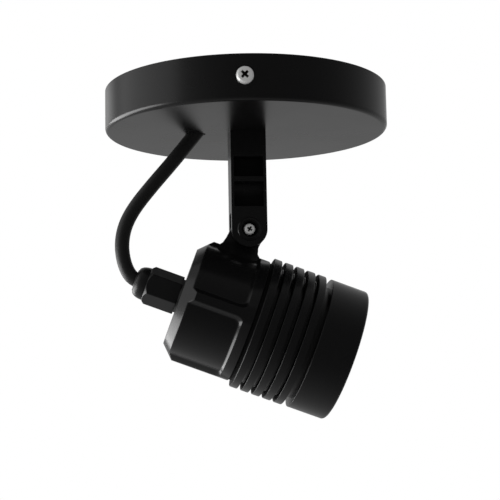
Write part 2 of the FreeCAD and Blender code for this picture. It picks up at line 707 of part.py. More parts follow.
# --------------------------------------------------------------------------------------
# Lamp head: housing
# --------------------------------------------------------------------------------------
def fin_outline():
    """Points of the fins from the first fin's rear edge to the last one's front edge."""
    points = []
    count = int(size.fin_count.value)
    for index in range(count):
        start = size.fin_start + size.fin_pitch * index
        end = start + size.fin_land
        if index:
            points += [(start, size.fin_root), (start, size.fin_radius - size.fin_edge),
                       (start + size.fin_edge, size.fin_radius)]
        else:
            points += [(start, size.fin_radius)]
        points += [(end - size.fin_edge, size.fin_radius), (end, size.fin_radius - size.fin_edge)]
        points += [(end, size.fin_root if index < count - 1 else size.spigot_radius)]
    return points


def head_housing():
    """Turned and milled aluminium housing: pockets, neck, cooling fins, collar and lug."""
    body = new_body("housing_blank")
    thread = size.gland_thread_radius + size.thread_gap
    points = [(ZERO, thread), (ZERO, size.rear_radius), (size.rear_chamfer, size.body_radius),
              (size.neck_end, size.body_radius)] + fin_outline()
    points += [(size.spigot_end, size.spigot_radius), (size.spigot_end, size.front_bore),
               (size.shoulder, size.front_bore), (size.shoulder, size.rear_bore),
               (size.rear_wall, size.rear_bore), (size.rear_wall, thread)]
    revolve(body, outline(body, "housing_profile", points, "XY_Plane"), "H_Axis")
    doc.recompute()
    lug(body)
    doc.recompute()
    bore_start = (size.pivot_along.value, -size.arm_depth.value / 2, pivot_above().value)
    tools = pocket_cutters()
    tools.append(cylinder("lug_bore", size.three_radius + size.pivot_fit, size.arm_depth,
                          along((0, 1, 0), bore_start)))
    thread_depth = size.base_screw_length - size.spreader_sheet + size.thread_runout
    for index, angle in enumerate(SCREW_ANGLES):
        at = about_axis(angle, size.spreader_screw_circle, size.shoulder.value + OVER)
        tools.append(cylinder("spreader_thread_%d" % index, size.three_radius + size.thread_gap,
                              thread_depth + OVER, along((-1, 0, 0), at)))
    finish(cut("housing_cut", body, tools), "head_housing", HEAD)


def about_axis(angle, radius, forward):
    """A point at an angle round the lamp's axis, in the head's frame."""
    return Rotation(Vector(1, 0, 0), angle).multVec(Vector(forward, radius.value, 0))


def pocket_cutters():
    """Cutters of the four shallow pockets round the rear body, open to the rear chamfer."""
    floor = (size.body_radius - size.pocket_depth).value
    beyond = (size.fin_radius + size.pocket_depth).value
    slope = (size.pocket_slope / size.pocket_depth).value
    front, behind = size.pocket_front.value, -OVER
    corners = [Vector(behind, floor, 0), Vector(front, floor, 0),
               Vector(front + slope * (beyond - floor), beyond, 0), Vector(behind, beyond, 0)]
    face = Part.Face(Part.makePolygon(corners + corners[:1]))
    sweep = size.pocket_sweep.value
    blank = face.revolve(Vector(0, 0, 0), Vector(1, 0, 0), sweep)

    def front_corner(edge):
        ends = [math.hypot(vertex.Y, vertex.Z) for vertex in edge.Vertexes]
        across = len(ends) == 2 and abs(ends[0] - ends[1]) > (beyond - floor) / 2
        return across and edge.BoundBox.XMin > front - 0.01

    rounded = blank.makeFillet(size.pocket_corner.value, [edge for edge in blank.Edges if front_corner(edge)])
    first = size.pocket_start.value
    half_turn = 180
    starts = (first, -first - sweep, half_turn - first - sweep, half_turn + first)
    cutters = []
    for index, start in enumerate(starts):
        cutter = doc.addObject("Part::Feature", "pocket_cutter_%d" % index)
        cutter.Shape = rounded
        cutter.Placement = Placement(Vector(0, 0, 0), Rotation(Vector(1, 0, 0), start))
        cutters.append(cutter)
    return cutters


def lug(body):
    """The lug that stands in the fork, rounded about the pivot, on a flared foot."""
    top, side = pivot_above(), size.pivot_along
    foot = size.body_radius - size.lug_foot_root
    waist = size.body_radius + size.lug_waist_height
    flare = size.body_radius + size.lug_flare_height
    points = [(size.lug_rear_foot, foot), (size.lug_front_foot, foot),
              (size.lug_front_foot, size.body_radius - size.lug_foot_sink),
              (side + size.lug_front_waist + size.lug_flare, flare),
              (side + size.lug_front_waist, waist), (side + size.lug_radius, top),
              (side - size.lug_radius, top), (side - size.lug_rear_waist, waist),
              (side - size.lug_rear_waist - size.lug_flare, flare),
              (size.lug_rear_foot, size.body_radius - size.lug_foot_sink)]
    pad(body, outline(body, "lug_profile", points), size.lug_thickness)
    pad(body, circles(body, "lug_top", [(side, top, size.lug_radius)]), size.lug_thickness)

    half, spread = size.lug_thickness / 2, size.lug_thickness / 2 + size.lug_foot_spread
    top_line, low_line = size.body_radius + size.lug_foot_rise, size.body_radius - size.lug_foot_low
    middle = (size.lug_rear_foot + size.lug_front_foot) / 2
    sketch = outline(body, "lug_foot",
                     [(-spread, foot), (spread, foot), (spread, low_line), (half, top_line),
                      (-half, top_line), (-spread, low_line)],
                     "YZ_Plane", offset=Placement(Vector(0, 0, middle.value), Rotation()))
    sketch.setExpression("AttachmentOffset.Base.z", middle.text)
    pad(body, sketch, size.lug_front_foot - size.lug_rear_foot - size.lug_flare * 3)


# --------------------------------------------------------------------------------------
# Lamp head: bezel, glass and light engine
# --------------------------------------------------------------------------------------
def ring(label, inner, outer, start, end, place=HEAD):
    """A plain ring or disc about the lamp's axis."""
    length = end - start
    blank = cylinder(label + "_blank", outer, length, along((1, 0, 0), (start.value, 0, 0)))
    if inner is None:
        return finish(blank, label, place.multiply(blank.Placement))
    bore = cylinder(label + "_bore", inner, length + 2 * OVER, along((1, 0, 0), (start.value - OVER, 0, 0)))
    return finish(cut(label + "_cut", blank, [bore]), label, place)


def bezel_ring():
    """Front ring that screws onto the collar and holds the glass."""
    body = new_body("bezel_ring")
    bore = size.spigot_radius + size.bezel_fit
    lip = size.spigot_end + size.gasket_sheet + size.glass_sheet
    edge = size.fin_edge
    points = [(size.bezel_start, bore), (size.bezel_start, size.bezel_radius - edge),
              (size.bezel_start + edge, size.bezel_radius), (size.bezel_end, size.bezel_radius),
              (size.bezel_end, size.bezel_lip + size.bezel_flare), (lip + edge, size.bezel_lip),
              (lip, size.bezel_lip), (lip, bore)]
    revolve(body, outline(body, "bezel_profile", points, "XY_Plane"), "H_Axis")
    soften(body, size.bezel_round,
           lambda edge_item: (edge_item.Curve.TypeId == "Part::GeomCircle"
                              and abs(edge_item.Curve.Radius - size.bezel_radius.value) < 0.01
                              and edge_item.BoundBox.XMin > size.bezel_end.value - 0.01))
    finish(body, "bezel_ring", HEAD)


def glass_and_gasket():
    glass_start = size.spigot_end + size.gasket_sheet
    ring("glass_gasket", size.front_bore + size.gasket_gap, size.spigot_radius - size.gasket_gap,
         size.spigot_end, glass_start)
    ring("front_glass", None, size.spigot_radius - size.glass_gap, glass_start,
         glass_start + size.glass_sheet)


def heat_spreader():
    """Aluminium disc on the shoulder, with its three screws."""
    start, end = size.shoulder, size.shoulder + size.spreader_sheet
    disc = cylinder("spreader_blank", size.front_bore - size.hole_gap, size.spreader_sheet,
                    along((1, 0, 0), (start.value, 0, 0)))
    tools, screws = [], []
    for index, angle in enumerate(SCREW_ANGLES):
        at = about_axis(angle, size.spreader_screw_circle, start.value - OVER)
        tools.append(cylinder("spreader_hole_%d" % index, size.three_radius + size.hole_gap,
                              size.spreader_sheet + 2 * OVER, along((1, 0, 0), at)))
        top = Vector(end.value, at.y, at.z)
        screws.append(pan_screw("spreader_screw_%d" % index, size.three_radius, size.three_head_radius,
                                size.three_head_height, size.base_screw_length,
                                HEAD.multiply(along((1, 0, 0), top))))
    tools += lead_holes("spreader_lead_hole", start - OVER, size.spreader_sheet + 2 * OVER)
    tools += chip_threads(end)
    tools += post_threads("spreader_post_hole", start - OVER, size.spreader_sheet + 2 * OVER)
    finish(cut("spreader_cut", disc, tools), "heat_spreader", HEAD)
    finish(group("spreader_screw", screws), "spreader_screws")


def lead_holes(name, start, length):
    """Two holes for the lamp leads."""
    return [cylinder("%s_%d" % (name, side + 1), size.lead_radius + size.lead_gap, length,
                     along((1, 0, 0), (start.value, 0, side * size.lead_circle.value))) for side in (-1, 1)]


def chip_threads(top):
    """Two tapped holes for the screws of the light chip's board, drilled from its seat."""
    return [cylinder("chip_thread_%d" % (side + 1), size.small_screw_radius + size.thread_gap,
                     size.chip_screw_length - size.chip_board_sheet + size.thread_runout + OVER,
                     along((-1, 0, 0), (top.value + OVER, side * size.chip_screw_circle.value, 0)))
            for side in (-1, 1)]


def post_threads(name, start, length):
    """Three holes for the threaded ends of the driver's posts."""
    return [cylinder("%s_%d" % (name, index), size.three_radius + size.thread_gap, length,
                     along((1, 0, 0), about_axis(angle, size.driver_post_circle, start.value)))
            for index, angle in enumerate(POST_ANGLES)]


def light_chip():
    """Round board, light chip and two screws in front of the heat spreader."""
    start = size.shoulder + size.spreader_sheet
    top = start + size.chip_board_sheet
    disc = cylinder("chip_board_blank", size.chip_board_radius, size.chip_board_sheet,
                    along((1, 0, 0), (start.value, 0, 0)))
    tools = lead_holes("chip_lead_hole", start - OVER, size.chip_board_sheet + 2 * OVER)
    screws = []
    for side in (-1, 1):
        y = side * size.chip_screw_circle.value
        tools.append(cylinder("chip_hole_%d" % (side + 1), size.small_screw_radius + size.hole_gap,
                              size.chip_board_sheet + 2 * OVER,
                              along((1, 0, 0), (start.value - OVER, y, 0))))
        screws.append(pan_screw("chip_screw_%d" % (side + 1), size.small_screw_radius, size.small_head_radius,
                                size.small_head_height, size.chip_screw_length,
                                HEAD.multiply(along((1, 0, 0), (top.value, y, 0)))))
    finish(cut("chip_board_cut", disc, tools), "light_chip_board", HEAD)
    finish(group("chip_screw", screws), "chip_board_screws")
    ring("light_chip", None, size.chip_radius, top, top + size.chip_sheet)


def reflector():
    """A spun reflector: a short neck round the chip and a curved bowl to the glass."""
    start = size.shoulder + size.spreader_sheet + size.chip_board_sheet
    neck_end = start + size.reflector_neck_length
    mouth = size.spigot_end - size.reflector_glass_gap
    wall = size.reflector_wall
    middle = (neck_end.value + mouth.value) / 2 - size.reflector_mid_back.value

    def bowl(offset, heel):
        first = Vector(neck_end.value + heel, size.reflector_neck.value + offset, 0)
        second = Vector(middle, size.reflector_mid_radius.value + offset, 0)
        last = Vector(mouth.value, size.reflector_mouth.value + offset, 0)
        return Part.Arc(first, second, last).toShape(), first, last

    inner_arc, inner_first, inner_last = bowl(0.0, 0.0)
    outer_arc, outer_first, outer_last = bowl(wall.value, size.reflector_heel.value)
    neck_inner = Vector(start.value, size.reflector_neck.value, 0)
    neck_outer = Vector(start.value, size.reflector_neck.value + wall.value, 0)
    edges = [Part.LineSegment(neck_inner, inner_first).toShape(), inner_arc,
             Part.LineSegment(inner_last, outer_last).toShape(), outer_arc,
             Part.LineSegment(outer_first, neck_outer).toShape(),
             Part.LineSegment(neck_outer, neck_inner).toShape()]
    face = Part.Face(Part.Wire(Part.__sortEdges__(edges)))
    item = doc.addObject("Part::Feature", "reflector_solid")
    item.Shape = face.revolve(Vector(0, 0, 0), Vector(1, 0, 0), 360)
    finish(item, "reflector", HEAD)


def driver():
    """Round driver board on three posts behind the heat spreader, with its components."""
    back = size.shoulder - size.driver_post
    start = back - size.driver_sheet
    disc = cylinder("driver_blank", size.driver_radius, size.driver_sheet,
                    along((1, 0, 0), (start.value, 0, 0)))
    tools = lead_holes("driver_lead_hole", start - OVER, size.driver_sheet + 2 * OVER)
    posts, screws = [], []
    for index, angle in enumerate(POST_ANGLES):
        def at(forward):
            return about_axis(angle, size.driver_post_circle, forward.value)

        at_board = at(start)
        tools.append(cylinder("driver_hole_%d" % index, size.three_radius + size.hole_gap,
                              size.driver_sheet + 2 * OVER, along((1, 0, 0), at(start - OVER))))
        post = cylinder("post_%d_blank" % index, size.driver_post_radius, size.driver_post,
                        along((1, 0, 0), at(back)))
        stub = cylinder("post_%d_stub" % index, size.three_radius, size.spreader_sheet - size.post_end_gap,
                        along((1, 0, 0), at(size.shoulder)))
        bore = cylinder("post_%d_bore" % index, size.three_radius + size.thread_gap,
                        size.driver_screw_length - size.driver_sheet + size.thread_runout + OVER,
                        along((1, 0, 0), at(back - OVER)))
        posts.append(cut("post_%d" % index, joined("post_%d_bar" % index, [post, stub]), [bore]))
        posts[-1].Placement = HEAD
        screws.append(pan_screw("driver_screw_%d" % index, size.three_radius, size.three_head_radius,
                                size.three_head_height, size.driver_screw_length,
                                HEAD.multiply(along((-1, 0, 0), at_board))))
    finish(cut("driver_cut", disc, tools), "driver_board", HEAD)
    finish(group("driver_post", posts), "driver_posts")
    finish(group("driver_screw", screws), "driver_board_screws")
    driver_components(start)
    leads = [cylinder("lamp_lead_%d" % (side + 1), size.lead_radius,
                      size.shoulder + size.spreader_sheet + size.chip_board_sheet - start,
                      HEAD.multiply(along((1, 0, 0), (start.value, 0, side * size.lead_circle.value))))
             for side in (-1, 1)]
    finish(group("lamp_lead", leads), "lamp_leads")


def driver_components(board_face):
    """Transformer and two capacitors on the rear of the driver board."""
    corner = (board_face - size.transformer_height, size.transformer_aside - size.transformer_side / 2,
              -size.transformer_below - size.transformer_side / 2)
    item = block("transformer_solid", (size.transformer_height, size.transformer_side, size.transformer_side),
                 corner)
    finish(item, "driver_transformer", HEAD.multiply(item.Placement))
    cans = []
    for index, side in enumerate((-1, 1)):
        spread = (size.capacitor_radius.value + size.hole_gap.value) * side - size.transformer_below.value
        cans.append(cylinder("capacitor_%d" % index, size.capacitor_radius, size.capacitor_height,
                             HEAD.multiply(along((-1, 0, 0),
                                                 (board_face.value, -size.capacitor_aside.value, spread)))))
    finish(group("capacitor", cans), "driver_capacitors")


# --------------------------------------------------------------------------------------
# Cable gland
# --------------------------------------------------------------------------------------
def hex_face_forward(name, flats, start, end):
    """Hexagonal bar about the lamp's axis from start back to end, with a flat to each side."""
    length = start - end
    return prism(name, flats, length, along((1, 0, 0), (end.value, 0, 0)))


def gland():
    """Nylon cable gland: washer, body, cap nut, seal and the locknut inside the head."""
    face = -size.gland_washer_sheet
    ring("gland_washer", size.gland_thread_radius + size.hole_gap, size.gland_flats / 2, face, ZERO)
    hexagon = hex_face_forward("gland_hex", size.gland_flats, face, -size.gland_hex_end)
    thread = cylinder("gland_thread", size.gland_thread_radius,
                      size.rear_wall + size.locknut_height + size.gland_thread_over + size.gland_washer_sheet,
                      along((1, 0, 0), (face.value, 0, 0)))
    upper = cylinder("gland_upper", size.gland_upper_radius, size.gland_upper_end - size.gland_hex_end,
                     along((1, 0, 0), (-size.gland_upper_end.value, 0, 0)))
    bore = cylinder("gland_bore_cut", size.gland_bore, size.gland_upper_end + size.shoulder,
                    along((1, 0, 0), (-size.gland_upper_end.value - OVER, 0, 0)))
    finish(cut("gland_body_cut", joined("gland_body_blank", [hexagon, thread, upper]), [bore]),
           "gland_body", HEAD)

    nut = hex_face_forward("locknut_blank", size.gland_flats, size.rear_wall + size.locknut_height,
                           size.rear_wall)
    nut_bore = cylinder("locknut_bore", size.gland_thread_radius + size.thread_gap,
                        size.locknut_height + 2 * OVER,
                        along((1, 0, 0), (size.rear_wall.value - OVER, 0, 0)))
    finish(cut("locknut_cut", nut, [nut_bore]), "gland_locknut", HEAD)

    seal_bore = size.cable_radius + size.thread_gap
    ring("gland_seal", seal_bore, seal_bore + size.seal_wall, -size.seal_end,
         -size.gland_upper_end - size.cap_seal_gap)
    cap_nut()


def cap_nut():
    """Domed cap nut: a hexagon, a round dome and a round mouth for the cable."""
    start = -size.gland_hex_end - size.gland_gap
    hexagon = hex_face_forward("cap_hex", size.gland_flats, start, -size.cap_hex_end)
    base, end = -size.cap_hex_end.value, -size.cap_end.value
    radius, rim = size.cap_dome_radius.value, size.cap_mouth.value + size.cap_mouth_rim.value
    middle = Vector(base - size.cap_dome_mid.value, radius - size.cap_dome_sag.value, 0)
    first, last = Vector(base, radius, 0), Vector(end, rim, 0)
    corners = [last, Vector(end, 0, 0), Vector(base, 0, 0), first]
    sides = [Part.LineSegment(one, two).toShape() for one, two in zip(corners, corners[1:])]
    section = Part.Face(Part.Wire([Part.Arc(first, middle, last).toShape()] + sides))
    dome = doc.addObject("Part::Feature", "cap_dome")
    dome.Shape = section.revolve(Vector(0, 0, 0), Vector(1, 0, 0), 360)
    thread_end = -size.gland_upper_end - size.cap_seal_gap
    thread = cylinder("cap_thread", size.gland_upper_radius + size.thread_gap, start - thread_end + OVER,
                      along((1, 0, 0), (thread_end.value, 0, 0)))
    seat_radius = size.cable_radius + size.thread_gap + size.seal_wall + size.cap_seal_gap
    seat = cylinder("cap_seat", seat_radius, size.seal_end - size.gland_upper_end,
                    along((1, 0, 0), (-size.seal_end.value, 0, 0)))
    mouth = cylinder("cap_mouth_cut", size.cap_mouth, size.cap_end - size.gland_upper_end + OVER,
                     along((1, 0, 0), (-size.cap_end.value - OVER, 0, 0)))
    finish(cut("cap_nut_cut", joined("cap_nut_blank", [hexagon, dome]), [thread, seat, mouth]),
           "gland_cap_nut", HEAD)


def cable_tail():
    """The sheathed cable inside the gland and its three cores up to the driver board."""
    ring("cable_tail", None, size.cable_radius, -size.seal_end, size.tail_end)
    board = size.shoulder - size.driver_post - size.driver_sheet
    cores = []
    for index, z in enumerate((-size.core_spread.value, 0, size.core_spread.value)):
        place = HEAD.multiply(along((1, 0, 0), (size.tail_end.value, -size.core_aside.value, z)))
        cores.append(cylinder("tail_core_%d" % index, size.core_radius, board - size.tail_end, place))
    finish(group("tail_core", cores), "tail_cores")


# --------------------------------------------------------------------------------------
# Free cable
# --------------------------------------------------------------------------------------
def route_points():
    """The cable's points in the XZ plane, from the seal to the anchor."""
    exits = [HEAD.multVec(Vector(-length.value, 0, 0))
             for length in (size.seal_end, size.seal_end + size.cable_exit_run)]
    start, way = cable_axis()
    return exits + [Vector(x, 0, z) for x, z in CABLE_ROUTE] + [start + way * size.cable_end_run.value]


def rounded_path(points, share=0.45):
    """Straight runs joined by tangent arcs; each arc as large as its two runs allow."""
    edges, radii = [], []
    here = points[0]
    for before, corner, after in zip(points, points[1:], points[2:]):
        incoming, outgoing = (corner - before), (after - corner)
        reach = share * min(incoming.Length, outgoing.Length)
        turn = incoming.getAngle(outgoing)
        radii.append(reach / math.tan(turn / 2))
        start = corner - incoming.normalize() * reach
        end = corner + outgoing.normalize() * reach
        inward = (end - corner) + (start - corner)
        to_centre = radii[-1] / math.cos(turn / 2)
        middle = corner + inward.normalize() * (to_centre - radii[-1])
        edges.append(Part.LineSegment(here, start).toShape())
        edges.append(Part.Arc(start, middle, end).toShape())
        here = end
    edges.append(Part.LineSegment(here, points[-1]).toShape())
    return Part.Wire(edges), radii


def mains_cable():
    """The free cable from the gland up into the canopy."""
    points = route_points()
    path, radii = rounded_path(points)
    print("cable radii:", ", ".join("%.1f" % radius for radius in radii))
    direction = points[1] - points[0]
    section = Part.Wire(Part.Circle(points[0], direction, size.cable_radius.value).toShape())
    tube = path.makePipeShell([section], True, False)
    expected = path.Length * math.pi * size.cable_radius.value ** 2
    print("cable length %.1f mm, volume %.1f of %.1f mm3" % (path.Length, tube.Volume, expected))
    item = doc.addObject("Part::Feature", "cable_solid")
    item.Shape = tube
    finish(item, "mains_cable")


def bent_wire(name, points):
    """An insulated core along points in space."""
    path, radii = rounded_path([Vector(*point) for point in points])
    start = Vector(*points[0])
    section = Part.Wire(Part.Circle(start, Vector(*points[1]) - start, size.core_radius.value).toShape())
    item = doc.addObject("Part::Feature", name)
    item.Shape = path.makePipeShell([section], True, False)
    return item


def supply_cores():
    """The cable's cores inside the canopy: two into the terminal block, one to the earth lug."""
    start, way = cable_axis()
    end = start + way * size.cable_end_run.value
    top = end + way * size.core_rise.value
    block_face = size.block_aside.value - size.block_depth.value / 2
    turn_height, way_height = (FLOOR + size.core_height).value, (FLOOR + size.way_height).value
    wires = []
    for index in (0, 1):
        y = size.core_spread.value * (1 - index)
        x = index * size.block_pitch.value - size.block_behind.value
        points = [(end.x, y, end.z), (top.x, y, top.z),
                  (end.x + index * size.core_turn_step.value, size.core_turn.value, turn_height),
                  (x, block_face - size.core_entry.value, way_height),
                  (x, block_face + size.core_grip.value, way_height)]
        wires.append(bent_wire("supply_core_%d" % index, points))
    y, lug_y = -size.core_spread.value, -size.earth_aside.value
    lug_x = (size.earth_neck + size.earth_barrel_length - size.earth_grip - size.earth_behind).value
    lug_z = (FLOOR + size.stud_foot_height + size.earth_barrel_radius).value
    points = [(end.x, y, end.z), (top.x, y, top.z),
              (end.x + size.core_earth_shift.value, -size.core_turn.value - size.core_earth_drop.value,
               turn_height - size.core_earth_drop.value),
              (lug_x + size.core_earth_run.value, lug_y, lug_z), (lug_x, lug_y, lug_z)]
    wires.append(bent_wire("supply_core_2", points))
    finish(group("supply_core", wires), "supply_cores")


# --------------------------------------------------------------------------------------
# Inside the canopy
# --------------------------------------------------------------------------------------
def cable_anchor():
    """Nylon anchor on the canopy floor that grips the end of the cable."""
    body = block("anchor_body", (size.anchor_rear - size.anchor_front, size.anchor_half_width * 2,
                                 size.anchor_height),
                 (-size.anchor_rear, -size.anchor_half_width, FLOOR))
    foot = block("anchor_foot_bar", (size.anchor_foot_width, size.anchor_wing * 2, size.anchor_foot),
                 (-size.anchor_stud_back - size.anchor_foot_width / 2, -size.anchor_wing, FLOOR))
    start, way = cable_axis()
    end = start + way * size.cable_end_run.value
    tools = [
        cylinder("anchor_bore", size.cable_radius + size.thread_gap, size.cable_end_run + CABLE_CUT,
                 along(way, start - way * CABLE_CUT)),
        cylinder("anchor_core_bore", size.cable_radius - size.anchor_step, size.core_rise + OVER,
                 along(way, end - way * OVER)),
    ]
    for side in (-1, 1):
        tools.append(cylinder("anchor_stud_hole_%d" % (side + 1), size.stud_foot_radius + size.hole_gap,
                              size.anchor_foot + 2 * OVER,
                              Placement(Vector(-size.anchor_stud_back.value,
                                               side * size.anchor_stud_spread.value,
                                               FLOOR.value - OVER), Rotation())))
    finish(cut("anchor_cut", joined("anchor_blank", [body, foot]), tools), "cable_anchor")


def stud_places():
    """Weld studs on the canopy floor: two at the anchor and one for the earth wire."""
    places = [(-size.anchor_stud_back.value, side * size.anchor_stud_spread.value) for side in (-1, 1)]
    places.append((-size.earth_behind.value, -size.earth_aside.value))
    return places


def studs_and_nuts():
    """Weld studs and their nuts."""
    studs, nuts = [], []
    places = stud_places()
    for index, (x, y) in enumerate(places):
        base = Placement(Vector(x, y, FLOOR.value), Rotation())
        foot = cylinder("stud_foot_%d" % index, size.stud_foot_radius, size.stud_foot_height, base)
        pin = cylinder("stud_pin_%d" % index, size.stud_radius, size.stud_length, base)
        studs.append(joined("stud_%d" % index, [foot, pin]))
        at_earth = index == len(places) - 1
        seat = size.stud_foot_height + size.earth_sheet if at_earth else size.anchor_foot
        lift = (FLOOR + seat).value
        nut = prism("stud_nut_blank_%d" % index, size.nut_flats, size.nut_height,
                    Placement(Vector(x, y, lift), Rotation()))
        bore = cylinder("stud_nut_bore_%d" % index, size.stud_radius + size.thread_gap,
                        size.nut_height + 2 * OVER, Placement(Vector(x, y, lift - OVER), Rotation()))
        nuts.append(cut("stud_nut_%d" % index, nut, [bore]))
    finish(group("weld_stud", studs), "canopy_studs")
    finish(group("stud_nut", nuts), "stud_nuts")


def earth_lug():
    """Ring lug of the earth core: an eye on its stud, a tongue and a crimped barrel."""
    x, y = stud_places()[-1]
    low = FLOOR + size.stud_foot_height
    level = low.value + size.earth_barrel_radius.value
    mouth = size.earth_neck + size.earth_barrel_length
    disc = cylinder("earth_eye", size.stud_foot_radius + size.earth_rim, size.earth_sheet,
                    Placement(Vector(x, y, low.value), Rotation()))
    tongue = block("earth_tongue", (size.earth_neck + size.earth_tongue_over, size.earth_barrel_radius * 2,
                                    size.earth_sheet),
                   (x, y - size.earth_barrel_radius.value, low))
    barrel = cylinder("earth_barrel", size.earth_barrel_radius, size.earth_barrel_length,
                      along((1, 0, 0), (x + size.earth_neck.value, y, level)))
    crimp = cylinder("earth_crimp", size.core_radius, size.earth_grip + OVER,
                     along((1, 0, 0), (x + (mouth - size.earth_grip).value, y, level)))
    hole = cylinder("earth_hole", size.stud_radius + size.thread_gap, size.earth_sheet + 2 * OVER,
                    Placement(Vector(x, y, low.value - OVER), Rotation()))
    finish(cut("earth_lug_cut", joined("earth_lug_blank", [disc, tongue, barrel]), [hole, crimp]),
           "earth_lug")


def terminal_block():
    """Three way terminal block with brass tubes and clamp screws, on the canopy floor."""
    x0, y0 = -size.block_behind.value, size.block_aside.value
    near = y0 - size.block_depth.value / 2
    base = block("terminal_blank", (size.block_length, size.block_depth, size.block_height),
                 (x0 - size.block_length.value / 2, near, FLOOR))
    z = (FLOOR + size.way_height).value
    ways, tubes, screws = [], [], []
    for index in (-1, 0, 1):
        x = x0 + index * size.block_pitch.value
        ways.append(cylinder("way_%d" % (index + 1), size.way_radius, size.block_depth + 2 * OVER,
                             along((0, 1, 0), (x, near - OVER, z))))
        tube = cylinder("tube_blank_%d" % (index + 1), size.way_radius,
                        size.block_depth - size.tube_inset * 2,
                        along((0, 1, 0), (x, near + size.tube_inset.value, z)))
        taps = [cylinder("tube_bore_%d" % (index + 1), size.way_radius - size.tube_wall, size.block_depth,
                         along((0, 1, 0), (x, near, z)))]
        for side in (-1, 1):
            at = Vector(x, y0 + side * size.block_depth.value / 4, z)
            name = "%d_%d" % (index + 1, side + 1)
            taps.append(cylinder("tube_tap_" + name, size.clamp_screw_radius + size.thread_gap,
                                 size.way_radius + OVER, Placement(at, Rotation())))
            ways.append(cylinder("screw_well_" + name, size.clamp_screw_radius + size.well_gap,
                                 size.block_height, Placement(at, Rotation())))
            screws.append(clamp_screw(name, at))
        tubes.append(cut("tube_%d" % (index + 1), tube, taps))
    finish(cut("terminal_cut", base, ways), "terminal_block")
    finish(group("terminal_tube", tubes), "terminal_tubes")
    finish(group("terminal_screw", screws), "terminal_screws")


def clamp_screw(name, way_centre):
    """A slotted clamp screw that stands on the core in its wire way."""
    tip = size.core_radius + size.thread_gap
    top = size.block_height - size.way_height - size.clamp_sink
    place = Placement(way_centre + Vector(0, 0, tip.value), Rotation())
    shaft = cylinder("clamp_" + name, size.clamp_screw_radius, top - tip, place)
    slot = block("clamp_slot_" + name,
                 (size.clamp_screw_radius * 3, size.clamp_slot_width, size.clamp_slot_depth + OVER),
                 (way_centre.x - size.clamp_screw_radius.value * 1.5,
                  way_centre.y - size.clamp_slot_width.value / 2,
                  way_centre.z + (top - size.clamp_slot_depth).value))
    return cut("clamp_screw_" + name, shaft, [slot])


# --------------------------------------------------------------------------------------
# The whole lamp
# --------------------------------------------------------------------------------------
def check_and_write():
    doc.recompute()
    faults = [item.Name for item in doc.Objects if "Invalid" in item.State or "Error" in item.State]
    for item in parts:
        if item.Shape.isNull() or not item.Shape.isValid():
            faults.append(item.Label)
    if faults:
        raise ValueError("failed objects: " + ", ".join(faults))
    os.makedirs("parts", exist_ok=True)
    for item in parts:
        item.Shape.exportStep(os.path.join("parts", item.Label + ".step"))
    print("%d sub-parts, %d solids" % (len(parts), sum(len(item.Shape.Solids) for item in parts)))


canopy_shell()
ceiling_strap()
canopy_side_screws()
arm_fixings()
arm_bracket()
pivot_hardware()
head_housing()
bezel_ring()
glass_and_gasket()
heat_spreader()
light_chip()
reflector()
driver()
gland()
cable_tail()
mains_cable()
supply_cores()
cable_anchor()
studs_and_nuts()
earth_lug()
terminal_block()
check_and_write()
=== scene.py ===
# %% [markdown]
# # A surface mounted ceiling spotlight
# The lamp hangs under a ceiling from a round black canopy. A short cast arm carries a finned
# lamp head on one screw, and a short cable runs from the canopy into the head's gland.
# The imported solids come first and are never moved. Every new piece is modelled round them,
# in metres, with +Z up and the middle of the canopy's ceiling face at the origin.

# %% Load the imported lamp
import json
import math

import bpy
from mathutils import Matrix, Vector


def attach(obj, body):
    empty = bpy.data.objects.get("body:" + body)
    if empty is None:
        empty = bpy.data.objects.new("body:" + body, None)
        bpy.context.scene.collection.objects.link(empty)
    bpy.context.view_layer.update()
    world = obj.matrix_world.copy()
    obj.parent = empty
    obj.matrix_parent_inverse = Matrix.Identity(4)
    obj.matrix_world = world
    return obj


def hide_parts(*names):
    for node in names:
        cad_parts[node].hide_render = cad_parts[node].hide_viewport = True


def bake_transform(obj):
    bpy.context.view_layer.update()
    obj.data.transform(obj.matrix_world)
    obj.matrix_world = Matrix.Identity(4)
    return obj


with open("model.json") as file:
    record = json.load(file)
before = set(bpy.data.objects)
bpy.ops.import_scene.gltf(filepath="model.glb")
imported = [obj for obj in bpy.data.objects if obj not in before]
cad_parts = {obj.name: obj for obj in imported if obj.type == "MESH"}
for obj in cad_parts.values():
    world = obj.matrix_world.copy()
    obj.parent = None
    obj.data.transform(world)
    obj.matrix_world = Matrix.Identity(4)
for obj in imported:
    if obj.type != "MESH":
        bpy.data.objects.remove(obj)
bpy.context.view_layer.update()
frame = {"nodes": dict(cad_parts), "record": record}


nodes = frame["nodes"]

# %% [markdown]
# ## Sizes and the lamp head's own frame
# The head is easiest to draw along its own axis: X runs forward from its rear face and Z is
# square to it. One matrix then turns a finished piece into its place. Nearly all the numbers
# are the solids' own, so that the pieces cover them. The head's sections are written in
# millimetres and turned into metres when they are spun.

# %% Sizes and the head's matrix
MM = 0.001
TILT = math.radians(20.5)
PIVOT_Z = -62.5 * MM
PIVOT = Vector((0, 0, PIVOT_Z))
# The lug's hole in the head's own frame, in millimetres: along the lamp and above its axis.
LUG_AT, LUG_H = 18.4, 37.3
PIVOT_IN_HEAD = Vector((LUG_AT * MM, 0, LUG_H * MM))
HEAD = Matrix.Translation(PIVOT) @ Matrix.Rotation(TILT, 4, "Y") @ Matrix.Translation(-PIVOT_IN_HEAD)
SIDE_SCREW_TURN = Matrix.Rotation(math.radians(-5.6), 4, "Z")
SIDE_SCREW_Z = -9.1 * MM
CANOPY_RADIUS, CANOPY_HEIGHT, CANOPY_WALL = 62.5 * MM, 18.8 * MM, 1.5 * MM
print("the head's rear centre is at", [round(value / MM, 2) for value in HEAD.translation], "mm")

